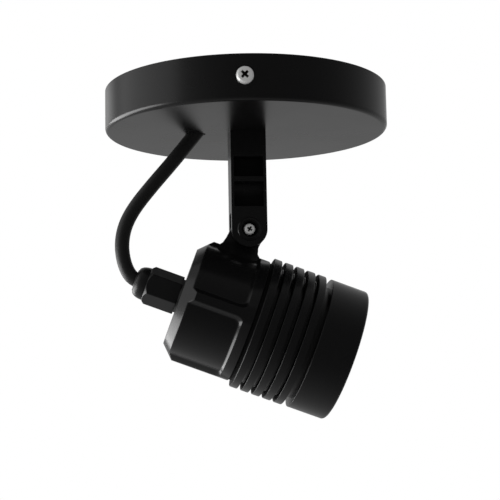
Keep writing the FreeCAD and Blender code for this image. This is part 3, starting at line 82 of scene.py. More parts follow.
# %% [markdown]
# ## The camera
# A photograph gives the camera away through ellipses: how open the canopy's round edge looks
# says how far below it the lens was, and the lamp head's edges give the turn. The lens is
# long, so the picture is nearly free of perspective.

# %% Camera at the photograph's place
CAMERA_TURN, CAMERA_RISE, CAMERA_ROLL = 5.6, 6.61, -1.06
CAMERA_PLACE = (-0.0475, -0.4916, -0.1281)
LENS, SENSOR = 81.07, 36.0


def camera_axes(turn, rise, roll):
    """Right, up and forward directions of a camera from its turn, rise and roll in degrees."""
    turn, rise, roll = (math.radians(angle) for angle in (turn, rise, roll))
    forward = Vector((math.sin(turn) * math.cos(rise), math.cos(turn) * math.cos(rise), math.sin(rise)))
    right = Vector((math.cos(turn), -math.sin(turn), 0))
    up = right.cross(forward)
    rolled_right = right * math.cos(roll) + up * math.sin(roll)
    rolled_up = up * math.cos(roll) - right * math.sin(roll)
    return rolled_right, rolled_up, forward


right, up, forward = camera_axes(CAMERA_TURN, CAMERA_RISE, CAMERA_ROLL)
camera_data = bpy.data.cameras.new("studio_camera")
camera_data.lens, camera_data.sensor_width = LENS, SENSOR
camera_data.clip_start, camera_data.clip_end = 0.01, 50.0
camera = bpy.data.objects.new("studio_camera", camera_data)
bpy.context.scene.collection.objects.link(camera)
camera_turn = Matrix((right, up, -forward)).transposed().to_4x4()
camera.matrix_world = Matrix.Translation(CAMERA_PLACE) @ camera_turn
bpy.context.scene.camera = camera
bpy.context.scene.view_settings.view_transform = "Standard"
print("camera looks up by", round(math.degrees(math.asin(forward.z)), 2), "degrees")

# %% [markdown]
# ## Shader maths as plain expressions
# A finish is a small graph of nodes. `Sock` wraps one output so that sums and products read
# as they would on paper, and `Finish.node` adds any other node from its type, its settings
# and what goes into its sockets.

# %% Sock and Finish
class Sock:
    """An output of a node; arithmetic on it adds Math nodes."""

    def __init__(self, finish, socket):
        self.finish, self.socket = finish, socket

    def math(self, operation, first, second):
        return self.finish.math(operation, first, second)

    def __add__(self, other):
        return self.math("ADD", self, other)

    __radd__ = __add__

    def __sub__(self, other):
        return self.math("SUBTRACT", self, other)

    def __rsub__(self, other):
        return self.math("SUBTRACT", other, self)

    def __mul__(self, other):
        return self.math("MULTIPLY", self, other)

    __rmul__ = __mul__

    def __gt__(self, other):
        return self.math("GREATER_THAN", self, other)

    def __lt__(self, other):
        return self.math("LESS_THAN", self, other)


class Finish:
    """A material being built."""

    def __init__(self, name):
        self.material = bpy.data.materials.new(name)
        self.material.use_nodes = True
        self.tree = self.material.node_tree
        self.tree.nodes.clear()
        self.output = self.tree.nodes.new("ShaderNodeOutputMaterial")

    def node(self, kind, settings=None, inputs=None, out=0):
        made = self.tree.nodes.new(kind)
        for name, value in (settings or {}).items():
            setattr(made, name, value)
        for name, value in (inputs or {}).items():
            self.feed(made.inputs[name], value)
        return Sock(self, made.outputs[out])

    def feed(self, socket, value):
        if isinstance(value, Sock):
            self.tree.links.new(value.socket, socket)
        else:
            socket.default_value = value

    def math(self, operation, *values):
        return self.node("ShaderNodeMath", {"operation": operation}, dict(enumerate(values)))

    def place(self, turn=(0, 0, 0), move=(0, 0, 0)):
        """Object coordinates, moved and turned onto a piece."""
        here = self.node("ShaderNodeTexCoord", out=3)
        return self.node("ShaderNodeMapping", {"vector_type": "TEXTURE"},
                         {"Vector": here, "Location": move, "Rotation": turn})

    def parts(self, vector):
        """The X, Y and Z of a vector as three numbers."""
        split = self.tree.nodes.new("ShaderNodeSeparateXYZ")
        self.tree.links.new(vector.socket, split.inputs[0])
        return [Sock(self, output) for output in split.outputs]

    def noise(self, where, scale, detail=2.0, rough=0.5):
        return self.node("ShaderNodeTexNoise", {},
                         {"Vector": where, "Scale": scale, "Detail": detail, "Roughness": rough})

    def stretch(self, where, factors):
        return self.node("ShaderNodeVectorMath", {"operation": "MULTIPLY"}, {0: where, 1: factors})

    def blend(self, factor, first, second):
        """A colour between two colours."""
        return self.node("ShaderNodeMix", {"data_type": "RGBA"}, {0: factor, 6: first, 7: second}, out=2)

    def spread(self, value, low, high):
        """Maps 0 to 1 onto low to high."""
        return value * (high - low) + low

    def step(self, value, start, end):
        """A smooth step from 0 at the start to 1 at the end."""
        return self.node("ShaderNodeMapRange", {"interpolation_type": "SMOOTHSTEP"},
                         {"Value": value, "From Min": start, "From Max": end})

    def bump(self, height, distance, strength=1.0):
        return self.node("ShaderNodeBump", {},
                         {"Height": height, "Distance": distance, "Strength": strength})

    def principled(self, **inputs):
        """A Principled shader; names use _ for a space."""
        return self.node("ShaderNodeBsdfPrincipled", {},
                         {name.replace("_", " "): value for name, value in inputs.items()})

    def shade_painted_where(self, factor, satin):
        """The satin shader, with painted shade, a deep near black, where the factor is 1."""
        # Painted shade: a rough near black sheet stands in for shade where the factor is 1.
        shade_sheet = self.principled(Base_Color=(0.002, 0.002, 0.002, 1), Roughness=0.7,
                               Specular_IOR_Level=0.3)
        return self.ends_in(self.node("ShaderNodeMixShader", {}, {0: factor, 1: satin, 2: shade_sheet}))

    def ends_in(self, shader):
        """Links the shader to the output and gives the finished material."""
        self.tree.links.new(shader.socket, self.output.inputs[0])
        return self.material

    def surface(self, **inputs):
        """Ends the graph in one Principled shader."""
        return self.ends_in(self.principled(**inputs))


print("Sock and Finish are ready")

# %% [markdown]
# ## Studio
# A white product picture needs a white background without white light pouring over a black
# lamp. So the background is white to the camera only. What the paint mirrors is a room that
# is dark on the camera's side and pale behind the lamp, which is why the near faces look
# black and everything seen at a slant turns grey. One low softbox on the left draws the
# bright lines on the rear chamfer and along the canopy's lower edge. The floor lies far
# below the picture and lets mirror rays through, so the lamp can also be seen from below.

# %% World, floor and lamps
FLOOR_Z, FLOOR_RADIUS, FLOOR_GLOW = -0.9, 2.5, 0.94
# The mirrored room turns from dark to pale between these cosines of the angle to its back.
DARK_END, PALE_START = -1.0, 0.75


def clear_selection():
    bpy.ops.object.select_all(action="DESELECT")


def make_active(piece):
    clear_selection()
    piece.select_set(True)
    bpy.context.view_layer.objects.active = piece


def studio_background(seen, light, front, back, towards):
    """White to the camera, dim as light, and a front to back ramp in mirrors."""
    world = bpy.data.worlds.new("studio")
    bpy.context.scene.world = world
    world.use_nodes = True
    tree = world.node_tree
    tree.nodes.clear()
    make, link = tree.nodes.new, tree.links.new
    direction, along = make("ShaderNodeTexCoord"), make("ShaderNodeVectorMath")
    along.operation = "DOT_PRODUCT"
    link(direction.outputs["Generated"], along.inputs[0])
    along.inputs[1].default_value = towards
    ramp = make("ShaderNodeMapRange")
    ramp.interpolation_type = "SMOOTHSTEP"
    link(along.outputs["Value"], ramp.inputs["Value"])
    levels = {"From Min": DARK_END, "From Max": PALE_START, "To Min": front, "To Max": back}
    for name, value in levels.items():
        ramp.inputs[name].default_value = value
    path, mirrored = make("ShaderNodeLightPath"), make("ShaderNodeMath")
    mirrored.operation = "MAXIMUM"
    link(path.outputs["Is Glossy Ray"], mirrored.inputs[0])
    link(path.outputs["Is Transmission Ray"], mirrored.inputs[1])
    room, strength = make("ShaderNodeMix"), make("ShaderNodeMix")
    link(mirrored.outputs[0], room.inputs[0])
    room.inputs[2].default_value = light
    link(ramp.outputs[0], room.inputs[3])
    link(path.outputs["Is Camera Ray"], strength.inputs[0])
    link(room.outputs[0], strength.inputs[2])
    strength.inputs[3].default_value = seen
    background, output = make("ShaderNodeBackground"), make("ShaderNodeOutputWorld")
    background.inputs["Color"].default_value = (1, 1, 1, 1)
    link(strength.outputs[0], background.inputs["Strength"])
    link(background.outputs[0], output.inputs[0])


def soft_lamp(name, place, target, wide, high, brightness):
    """A soft lamp aimed at a point; its power follows from its size and brightness."""
    data = bpy.data.lights.new(name, "AREA")
    data.shape, data.size, data.size_y = "RECTANGLE", wide, high
    data.energy = brightness * math.pi * wide * high
    lamp = bpy.data.objects.new(name, data)
    bpy.context.scene.collection.objects.link(lamp)
    lamp.location = place
    lamp.rotation_euler = (Vector(target) - Vector(place)).to_track_quat("-Z", "Y").to_euler()
    lamp.visible_camera = False


studio_background(seen=1.0, light=0.55, front=0.06, back=0.38, towards=(-0.34, 0.94, 0.0))
lamp_centre = (0.0, 0.0, -0.08)
soft_lamp("low_left_softbox", (-0.90, 0.33, -0.34), lamp_centre, 1.25, 0.52, 4.0)
soft_lamp("left_wall", (-1.0, 0.0, 0.1), lamp_centre, 1.2, 1.2, 0.45)
soft_lamp("right_back_panel", (0.48, 1.1, 0.12), lamp_centre, 0.3, 0.4, 0.45)
soft_lamp("left_back_panel", (-0.60, 1.0, 0.12), lamp_centre, 0.5, 0.4, 0.45)

clear_selection()
bpy.ops.mesh.primitive_circle_add(vertices=96, radius=FLOOR_RADIUS, fill_type="NGON",
                                  location=(0, 0, FLOOR_Z))
floor = bpy.context.object
floor.name = "studio_floor"
pale = Finish("pale_floor")
rays = pale.tree.nodes.new("ShaderNodeLightPath")
to_camera, to_mirror, to_glass = (Sock(pale, rays.outputs[name]) for name in (
    "Is Camera Ray", "Is Glossy Ray", "Is Transmission Ray"))
diffuse = pale.node("ShaderNodeBsdfDiffuse", {}, {"Color": (0.8, 0.8, 0.8, 1)})
glow = pale.node("ShaderNodeEmission", {}, {"Strength": 1.0})
clear = pale.node("ShaderNodeBsdfTransparent")
lit = pale.node("ShaderNodeMixShader", {}, {0: to_camera * FLOOR_GLOW, 1: diffuse, 2: glow})
mirrored = pale.node("ShaderNodeMixShader", {}, {0: to_mirror + to_glass, 1: lit, 2: clear})
pale.tree.links.new(mirrored.socket, pale.output.inputs[0])
floor.data.materials.append(pale.material)
print("studio: white background,", len(bpy.data.lights), "soft lamps")

# %% [markdown]
# ## The free cable
# The cable leaves the gland along the lamp's axis, swings out and up, and goes through the
# canopy at a slant. A NURBS line with few control points is the natural way: it has no
# corners, and a round cable shows each corner as a kink. Its line is also read as a chain of
# points, and a round tube is drawn along it.

# %% Cable route and tube
CABLE_RADIUS = 3.2 * MM
SEAL_END, EXIT_RUN = 17.0 * MM, 4.5 * MM
END_RUN, END_SLOPE = 18.6 * MM, math.radians(51.6)
LAST = Vector((-31.4 * MM, 0, -29.6 * MM))
route = [HEAD @ Vector((-SEAL_END, 0, 0)), HEAD @ Vector((-SEAL_END - EXIT_RUN, 0, 0))]
route += [Vector((x * MM, 0, z * MM)) for x, z in (
    (-53.3, -79.7), (-55.1, -74.0), (-55.6, -67.2), (-54.2, -59.9), (-50.3, -52.3), (-42.6, -42.5))]
route += [LAST, LAST + Vector((math.cos(END_SLOPE), 0, math.sin(END_SLOPE))) * END_RUN]


def nurbs_line(name, points, bevel=0.0):
    """A smooth open curve whose control points are the route's points."""
    curve = bpy.data.curves.new(name, "CURVE")
    curve.dimensions, curve.resolution_u = "3D", 24
    spline = curve.splines.new("NURBS")
    spline.points.add(len(points) - 1)
    for point, place in zip(spline.points, points):
        point.co = (*place, 1.0)
    spline.order_u = 3
    spline.use_endpoint_u = True
    curve.bevel_depth, curve.bevel_resolution, curve.use_fill_caps = bevel, 7, True
    line = bpy.data.objects.new(name, curve)
    bpy.context.scene.collection.objects.link(line)
    return line


centre_line = nurbs_line("cable_centre", route)
line_mesh = bpy.data.meshes.new_from_object(centre_line)
bpy.data.objects.remove(centre_line)

tube = nurbs_line("cable_tube", route, CABLE_RADIUS)
make_active(tube)
bpy.ops.object.convert(target="MESH")
cable = bpy.context.object
cable.name = "free_cable"
bpy.ops.object.shade_smooth_by_angle(angle=math.radians(40))

# %% [markdown]
# ## Tools for turned and milled pieces
# Nearly everything on this lamp is turned on a lathe or cut from bar. `turned` draws half a
# section as a chain of extruded points and spins it. `rounded` puts small arcs on the
# section's corners first, because a bright line along an edge is what makes metal look real.
# `carve` uses one piece to cut or join another. Flat faces then keep straight shading
# through a Weighted Normal modifier.

# %% Turning, carving and finishing helpers
# For each axis: the direction of the spindle, and the direction in which a radius is drawn.
SPINDLES = {"X": ((1, 0, 0), (0, 1, 0)), "Y": ((0, 1, 0), (0, 0, 1)), "Z": ((0, 0, 1), (1, 0, 0))}


def rounded(points, radii, steps=4):
    """The points with each corner that has a radius replaced by an arc."""
    made = []
    for index, point in enumerate(points):
        radius = radii.get(index, 0.0)
        here = Vector(point)
        before, after = Vector(points[index - 1]), Vector(points[(index + 1) % len(points)])
        if radius <= 0 or (before - here).length < 1e-9 or (after - here).length < 1e-9:
            made.append(here)
            continue
        first, second = (before - here).normalized(), (after - here).normalized()
        half = first.angle(second) / 2
        if half > math.radians(89) or half < math.radians(1):
            made.append(here)
            continue
        shorter = min(0.49 * (before - here).length, 0.49 * (after - here).length)
        reach = min(radius / math.tan(half), shorter)
        radius = reach * math.tan(half)
        centre = here + (first + second).normalized() * (radius / math.sin(half))
        start, end = here + first * reach - centre, here + second * reach - centre
        for step in range(steps + 1):
            direction = start.lerp(end, step / steps).normalized()
            made.append(centre + direction * radius)
    return made


def turned(name, section, steps=192, axis="X", closed=True):
    """Spins a section of (along, radius) points about an axis; a closed section is a ring."""
    clear_selection()
    bpy.ops.mesh.primitive_plane_add(size=1 * MM, location=(0, 0, 0))
    piece = bpy.context.object
    piece.name = name
    bpy.ops.object.mode_set(mode="EDIT")
    bpy.ops.mesh.select_all(action="SELECT")
    bpy.ops.mesh.merge(type="CENTER")
    spindle, outward = SPINDLES[axis]
    places = [Vector(spindle) * point[0] + Vector(outward) * point[1] for point in section]
    places += places[:1] if closed else []
    bpy.ops.transform.translate(value=places[0])
    for here, there in zip(places, places[1:]):
        bpy.ops.mesh.extrude_region_move(TRANSFORM_OT_translate={"value": there - here})
    bpy.ops.mesh.select_all(action="SELECT")
    bpy.ops.mesh.spin(steps=steps, angle=math.tau, center=(0, 0, 0), axis=spindle)
    bpy.ops.mesh.select_all(action="SELECT")
    bpy.ops.mesh.remove_doubles(threshold=1e-6)
    bpy.ops.mesh.normals_make_consistent(inside=False)
    bpy.ops.object.mode_set(mode="OBJECT")
    return piece


def rod(name, radius, start, end, sides=64):
    """A bar between two points, used to drill or to join."""
    start, end = Vector(start), Vector(end)
    clear_selection()
    bpy.ops.mesh.primitive_cylinder_add(vertices=sides, radius=radius, depth=(end - start).length,
                                        location=(start + end) / 2)
    piece = bpy.context.object
    piece.name = name
    piece.rotation_euler = (end - start).to_track_quat("Z", "Y").to_euler()
    make_active(piece)
    bpy.ops.object.transform_apply(location=True, rotation=True, scale=True)
    return piece


def brick(name, low, high):
    """A box between two corners."""
    low, high = Vector(low), Vector(high)
    clear_selection()
    bpy.ops.mesh.primitive_cube_add(size=1, location=(low + high) / 2, scale=high - low)
    piece = bpy.context.object
    piece.name = name
    bpy.ops.object.transform_apply(location=True, rotation=True, scale=True)
    return piece


def apply_modifier(piece, kind, **settings):
    """Adds a modifier, sets it and applies it."""
    make_active(piece)
    modifier = piece.modifiers.new(kind.lower(), kind)
    for name, value in settings.items():
        setattr(modifier, name, value)
    bpy.ops.object.modifier_apply(modifier=modifier.name)


def carve(piece, tools, operation="DIFFERENCE"):
    """Cuts, joins or intersects a piece with others, which are used up."""
    for tool in tools:
        apply_modifier(piece, "BOOLEAN", operation=operation, solver="EXACT", object=tool)
        bpy.data.objects.remove(tool)
    return piece


def soft_edges(piece, width, segments=3, angle=32):
    """Small rounds on every edge sharper than the angle."""
    apply_modifier(piece, "BEVEL", width=width, segments=segments, limit_method="ANGLE",
                   angle_limit=math.radians(angle), use_clamp_overlap=True, harden_normals=False)


def finish_piece(piece, body, replaced, material, place=None, angle=38):
    """Smooth shading that keeps flats flat, then its place, body, finish and node."""
    make_active(piece)
    bpy.ops.object.shade_smooth_by_angle(angle=math.radians(angle))
    apply_modifier(piece, "WEIGHTED_NORMAL", keep_sharp=True, weight=50)
    if place is not None:
        piece.matrix_world = place
        make_active(piece)
        bpy.ops.object.transform_apply(location=True, rotation=True, scale=True)
    piece.data.materials.clear()
    piece.data.materials.append(material)
    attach(piece, body)
    if replaced:
        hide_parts(*replaced)
    print("%s: %d faces" % (piece.name, len(piece.data.polygons)))
    return piece


print("helpers are ready")

# %% [markdown]
# ## Finishes
# The canopy and the arm are powder coated: a hard satin skin with a faint orange peel. The
# lamp head is turned aluminium, black anodised, so its surface keeps the lathe's fine rings.
# Nylon and cable sheath are plainer and softer. The screws are bright steel. What varies is
# always small: real paint looks even, and only its shine gives its texture away. Shade is
# painted dark into the arm's recesses, round the pivot screw, between the fins and inside
# the screws' crosses.

# %% Powder coat
# Where shade is painted into the arm's recesses as dark matt black: heights, and half their width and
# depth.
UPPER_DARK_TOP, UPPER_DARK_END = -30.2 * MM, -39.4 * MM
LOWER_FADE_START, LOWER_FADE_END, LOWER_DARK_END = -43.0 * MM, -48.0 * MM, -52.6 * MM
DARK_HALF_X, DARK_HALF_Y = 6.6 * MM, 7.65 * MM
# The shade round the pivot screw: its middle from the pivot, and the radii where it fades.
SHADE_X, SHADE_Z = 0.35 * MM, 0.45 * MM
SHADE_OUTER, SHADE_INNER = 4.1 * MM, 3.3 * MM


def powder_coat():
    coat = Finish("black_powder_coat")
    where = coat.place()
    peel = coat.noise(where, 900.0, detail=3.0)
    cloud = coat.noise(where, 35.0, detail=2.0)
    tone = coat.blend(cloud, (0.0030, 0.0030, 0.0031, 1), (0.0042, 0.0042, 0.0044, 1))
    x, y, z = coat.parts(where)
    # Painted shade: dark matt black in the arm's recesses, fading in down the lower one, and round the
    # pivot screw.
    upper_recess_shade = (z < UPPER_DARK_TOP) * (z > UPPER_DARK_END)
    lower = (z > LOWER_DARK_END) * coat.step(z, LOWER_FADE_START, LOWER_FADE_END)
    inside = (x > -DARK_HALF_X) * (x < DARK_HALF_X) * (y > -DARK_HALF_Y) * (y < DARK_HALF_Y)
    aside, above = x - SHADE_X, z - PIVOT.z - SHADE_Z
    pivot_shade = coat.step(coat.math("SQRT", aside * aside + above * above), SHADE_OUTER, SHADE_INNER)
    satin = coat.principled(Base_Color=tone, Roughness=coat.spread(cloud, 0.24, 0.30),
                            Normal=coat.bump(peel, 0.004 * MM))
    return coat.shade_painted_where((upper_recess_shade + lower) * inside + pivot_shade, satin)


POWDER = powder_coat()
print("made", POWDER.name)

# %% Anodised skin
# Where shade is painted between the fins as dark matt black: from and to along the lamp, and the radii.
GAPS_START, GAPS_END = 32.0 * MM, 58.0 * MM
GAP_BOTTOM, GAP_TOP = 26.25 * MM, 29.25 * MM


def black_anodised():
    skin = Finish("black_anodised")
    where = skin.place(turn=(0, TILT, 0), move=tuple(HEAD.translation))
    along, across, above = skin.parts(where)
    radius = skin.math("SQRT", across * across + above * above)
    # Painted shade: the gaps between the fins are turned dark matt black in the colour.
    fin_gap_shade = (along > GAPS_START) * (along < GAPS_END) * (radius < GAP_TOP) * (radius > GAP_BOTTOM)
    rings = skin.noise(skin.stretch(where, (5200.0, 40.0, 40.0)), 1.0, detail=2.0)
    cloud = skin.noise(where, 60.0, detail=3.0)
    tone = skin.blend(cloud, (0.0032, 0.0032, 0.0034, 1), (0.0045, 0.0045, 0.0047, 1))
    bump = skin.bump(rings, 0.0008 * MM)
    satin = skin.principled(Base_Color=tone, Roughness=skin.spread(cloud, 0.20, 0.27), Normal=bump)
    return skin.shade_painted_where(fin_gap_shade, satin)


ANODISED = black_anodised()
print("made", ANODISED.name)

# %% Nylon and cable sheath
def black_nylon():
    nylon = Finish("black_nylon")
    where = nylon.place()
    grain = nylon.noise(where, 1400.0, detail=3.0)
    cloud = nylon.noise(where, 120.0)
    tone = nylon.blend(cloud, (0.0040, 0.0040, 0.0042, 1), (0.0060, 0.0060, 0.0062, 1))
    return nylon.surface(Base_Color=tone, Roughness=nylon.spread(cloud, 0.26, 0.34),
                         Normal=nylon.bump(grain, 0.003 * MM))


def cable_sheath():
    sheath = Finish("cable_sheath")
    where = sheath.place()
    grain = sheath.noise(where, 1800.0, detail=4.0)
    cloud = sheath.noise(where, 90.0)
    tone = sheath.blend(cloud, (0.0060, 0.0060, 0.0060, 1), (0.0095, 0.0095, 0.0092, 1))
    return sheath.surface(Base_Color=tone, Roughness=sheath.spread(cloud, 0.42, 0.52),
                          Normal=sheath.bump(grain, 0.006 * MM))


NYLON, SHEATH = black_nylon(), cable_sheath()
print("made", NYLON.name, "and", SHEATH.name)

# %% Bright and hidden finishes
# A screw's points carry 1 inside the cross, where shade is painted. The factor takes the painted shade's
# dark tone out to its edge.
CROSS_SHADE_TONE, CROSS_SHADE_FACTOR = (0.02, 0.016, 0.015, 1), 3.0


def metal(name, tone, darker, roughness, grain_scale=700.0, grain_depth=0.003, metallic=1.0):
    """A bare metal with a little grain and a patchy shine, with shade painted dark inside a screw's cross.
    """
    bare = Finish(name)
    where = bare.place()
    grain = bare.noise(where, grain_scale, detail=4.0)
    cloud = bare.noise(where, 150.0, detail=2.0)
    # Painted shade inside a screw's cross, read from the points' marks.
    recess = bare.node("ShaderNodeAttribute", {"attribute_name": "recess"}, out=2)
    open_tone = bare.blend(cloud, (*tone, 1), (*darker, 1))
    return bare.surface(Base_Color=bare.blend(recess * CROSS_SHADE_FACTOR, open_tone, CROSS_SHADE_TONE),
                        Metallic=metallic,
                        Roughness=bare.spread(cloud, roughness, roughness + 0.12),
                        Normal=bare.bump(grain, grain_depth * MM))


def moulded(name, tone, darker, roughness=0.4, grain=0.004):
    """A moulded or painted surface with faint grain."""
    plain = Finish(name)
    where = plain.place()
    speckle = plain.noise(where, 1200.0, detail=3.0)
    cloud = plain.noise(where, 140.0, detail=2.0)
    return plain.surface(Base_Color=plain.blend(cloud, (*tone, 1), (*darker, 1)),
                         Roughness=plain.spread(speckle, roughness, roughness + 0.1),
                         Normal=plain.bump(speckle, grain * MM))


def clear_glass():
    glass = Finish("clear_glass")
    where = glass.place()
    smear = glass.noise(where, 60.0, detail=3.0)
    return glass.surface(Base_Color=(0.97, 0.99, 0.985, 1), Roughness=glass.spread(smear, 0.0, 0.04),
                         Transmission_Weight=1.0, IOR=1.47)


STEEL = metal("screw_steel", (0.86, 0.86, 0.85), (0.76, 0.76, 0.75), 0.36, metallic=0.45)
ZINC = metal("zinc_steel", (0.62, 0.64, 0.66), (0.50, 0.51, 0.52), 0.30, 400.0, 0.006)
BRASS = metal("turned_brass", (0.78, 0.58, 0.28), (0.66, 0.47, 0.21), 0.28)
ALUMINIUM = metal("machined_aluminium", (0.78, 0.78, 0.79), (0.68, 0.68, 0.69), 0.30)
MIRROR = metal("reflector_silver", (0.90, 0.90, 0.90), (0.84, 0.84, 0.85), 0.08, 260.0, 0.02)
GLASS = clear_glass()
WHITE_NYLON = moulded("white_nylon", (0.78, 0.77, 0.73), (0.70, 0.69, 0.65), 0.38)
GREY_RUBBER = moulded("grey_rubber", (0.055, 0.055, 0.055), (0.04, 0.04, 0.04), 0.62, 0.01)
BOARD_GREEN = moulded("green_board", (0.03, 0.16, 0.07), (0.02, 0.11, 0.05), 0.35)
BOARD_WHITE = moulded("white_board", (0.78, 0.79, 0.77), (0.70, 0.71, 0.69), 0.34)
PHOSPHOR = moulded("phosphor", (0.86, 0.62, 0.06), (0.78, 0.52, 0.04), 0.45, 0.02)
MOULDED_BLACK = moulded("moulded_black", (0.02, 0.02, 0.021), (0.03, 0.03, 0.031), 0.45)
print("bright and hidden finishes are ready")

# %% Finishes of the carried-over nodes
carried = {
    "black_paint": POWDER, "black_anodised": ANODISED, "zinc_steel": ZINC, "plain_steel": STEEL,
    "black_nylon": NYLON, "white_nylon": WHITE_NYLON, "black_rubber": SHEATH, "grey_rubber": GREY_RUBBER,
    "core_insulation": moulded("core_insulation", (0.30, 0.12, 0.04), (0.22, 0.085, 0.03), 0.4),
    "brass": BRASS, "bare_aluminium": ALUMINIUM, "reflector_silver": MIRROR, "clear_glass": GLASS,
    "board_white": BOARD_WHITE, "board_green": BOARD_GREEN, "chip_yellow": PHOSPHOR,
    "component_black": MOULDED_BLACK,
}
slot_of = {row["node"]: row["material_slot"] for row in frame["record"]["subparts"]}
for name, node in nodes.items():
    node.data.materials.clear()
    node.data.materials.append(carried[slot_of[name]])
print("dressed", len(nodes), "nodes in", len(carried), "finishes")

# %% [markdown]
# ## Canopy
# A pressed steel cup. Its lower edge is rounded by the press tool, and that round catches
# the only bright streak on the canopy. It is turned from a section of the sheet, then
# drilled for the cable, the arm's screws and the side screws.

# %% Canopy shell
SCREW_HOLE_R = 2.25 * MM
inner = CANOPY_RADIUS - CANOPY_WALL
floor_z = CANOPY_WALL - CANOPY_HEIGHT
edge = 4.0 * MM
sheet_section = [(-CANOPY_HEIGHT, 0.0), (-CANOPY_HEIGHT, CANOPY_RADIUS - edge),
                 (-CANOPY_HEIGHT, CANOPY_RADIUS), (-CANOPY_HEIGHT + edge, CANOPY_RADIUS),
                 (0.0, CANOPY_RADIUS), (0.0, inner),
                 (floor_z + edge, inner), (floor_z, inner), (floor_z, inner - edge), (floor_z, 0.0)]
sheet_section = rounded(sheet_section, {2: 3.0 * MM, 4: 0.25 * MM, 5: 0.25 * MM, 7: 1.5 * MM}, steps=10)
canopy = turned("canopy_cup", sheet_section, steps=256, axis="Z", closed=False)
slant = Vector((math.cos(END_SLOPE), 0, math.sin(END_SLOPE)))
hole_start = LAST + slant * (8 * MM)
drills = [rod("cable_drill", CABLE_RADIUS + 0.4 * MM, hole_start, hole_start + slant * (12 * MM), sides=96)]
for side in (-1, 1):
    axis = SIDE_SCREW_TURN @ Vector((0, side, 0))
    at = SIDE_SCREW_TURN @ Vector((0, side * 56 * MM, SIDE_SCREW_Z))
    drills.append(rod("side_drill", SCREW_HOLE_R, at, at + axis * (10 * MM)))
    arm_at = Vector((side * 4.2 * MM, 0, -22 * MM))
    drills.append(rod("arm_drill", SCREW_HOLE_R, arm_at, arm_at + Vector((0, 0, 8 * MM))))
carve(canopy, drills)
finish_piece(canopy, "base", ["canopy_shell"], POWDER)

# %% [markdown]
# ## Arm
# The arm is a small casting. Two recesses on each face save metal and leave a rib between
# them, and the lower end is slotted into a fork. It starts as a block with a round end, is
# cut by boxes and rods, and gets its cast radius before the screw's seat is bored. The low
# ring round the seat is turned by itself and joined on, because cutting and uniting here
# with turned pieces came out differently from one run to the next.

# %% Arm bracket
HALF_X, HALF_Y = 7.8 * MM, 8.0 * MM
PIVOT_BORE_R, SEAT_R, SEAT_Y = 1.55 * MM, 3.5 * MM, -6.1 * MM
arm = brick("cast_arm", (-HALF_X, -HALF_Y, PIVOT_Z), (HALF_X, HALF_Y, -CANOPY_HEIGHT))
carve(arm, [rod("ear_round", HALF_X, (0, -HALF_Y, PIVOT_Z), (0, HALF_Y, PIVOT_Z), sides=128)], "UNION")
cutters = [brick("fork_slot", (-12 * MM, -4 * MM, -75 * MM), (12 * MM, 4 * MM, -54.8 * MM))]
for face in (-1, 1):
    for top, end in ((-30.4, -39.2), (-41.5, -52.5)):
        near, far = sorted((face * 2.0 * MM, face * 9.0 * MM))
        cutters.append(brick("recess", (-6.5 * MM, near, end * MM), (6.5 * MM, far, top * MM)))
carve(arm, cutters)
soft_edges(arm, 0.4 * MM, segments=4)
ridge = rounded([(-8.25, 4.85), (-8.25, 5.0), (-7.9, 5.35), (-7.9, 3.9)], {0: 0.25, 1: 0.12}, steps=4)
pivot_ridge = turned("pivot_ridge", [point * MM for point in ridge], steps=96, axis="Y")
pivot_ridge.data.transform(Matrix.Translation((0, 0, PIVOT_Z)))
carve(arm, [rod("pivot_seat", SEAT_R, (0, -10 * MM, PIVOT_Z), (0, SEAT_Y, PIVOT_Z), sides=96),
            rod("pivot_bore", PIVOT_BORE_R, (0, -10 * MM, PIVOT_Z), (0, 10 * MM, PIVOT_Z)),
            rod("nut_pocket", 5.6 * MM / math.sqrt(3), (0, 5.6 * MM, PIVOT_Z),
                (0, 10 * MM, PIVOT_Z), sides=6)])
make_active(arm)
pivot_ridge.select_set(True)
bpy.ops.object.join()
finish_piece(arm, "base", ["arm_bracket"], POWDER)

# %% [markdown]
# ## Screws
# A pan head is a low dome with a cross stamped into it. The cross tapers, so it is cut with
# two crossed wedges. One function makes the side screws and the pivot screw.

# %% Cross headed screws
# Shares of the head's radius: half a wedge's length and width, and the reach of the cross.
CROSS_LONG, CROSS_WIDE, CROSS_REACH = 0.52, 0.17, 0.56
# How far the bottom of a wedge is drawn in, along and across it.
TAPER_LONG, TAPER_WIDE = 0.88, 0.75


def pan_screw(name, radius, height, shank, length, place, turn=0.0):
    """A pan head screw whose head stands on Z = 0 and whose shank goes down."""
    head = [(-length, 0.0), (-length, shank), (0.0, shank), (0.0, radius), (height * 0.5, radius),
            (height * 0.93, radius * 0.80), (height, radius * 0.45), (height, 0.0)]
    head = rounded(head, {3: 0.12 * MM, 4: 0.5 * MM, 5: 0.8 * MM, 6: 1.2 * MM}, steps=6)
    screw = turned(name, head, steps=96, axis="Z", closed=False)
    for angle in (45, 135):
        wedge = brick("cross_wedge", (-radius * CROSS_LONG, -radius * CROSS_WIDE, height * 0.05),
                      (radius * CROSS_LONG, radius * CROSS_WIDE, height * 1.4))
        for vertex in wedge.data.vertices:
            if vertex.co.z < height:
                vertex.co.x, vertex.co.y = vertex.co.x * TAPER_LONG, vertex.co.y * TAPER_WIDE
        wedge.data.transform(Matrix.Rotation(math.radians(angle + turn), 4, "Z"))
        carve(screw, [wedge])
    soft_edges(screw, 0.05 * MM, segments=2)
    # Marks the points deep in the cross, where shade is painted into the steel's colour.
    recess = screw.data.attributes.new("recess", "FLOAT", "POINT")
    for vertex, mark in zip(screw.data.vertices, recess.data):
        shade_in_cross = 0 < vertex.co.z < height * 0.9 and vertex.co.xy.length < radius * CROSS_REACH
        mark.value = float(shade_in_cross)
    screw.matrix_world = place
    make_active(screw)
    bpy.ops.object.transform_apply(location=True, rotation=True, scale=True)
    return screw


def facing(place, direction):
    """A matrix whose Z points along a direction."""
    return Matrix.Translation(place) @ Vector(direction).to_track_quat("Z", "Y").to_matrix().to_4x4()


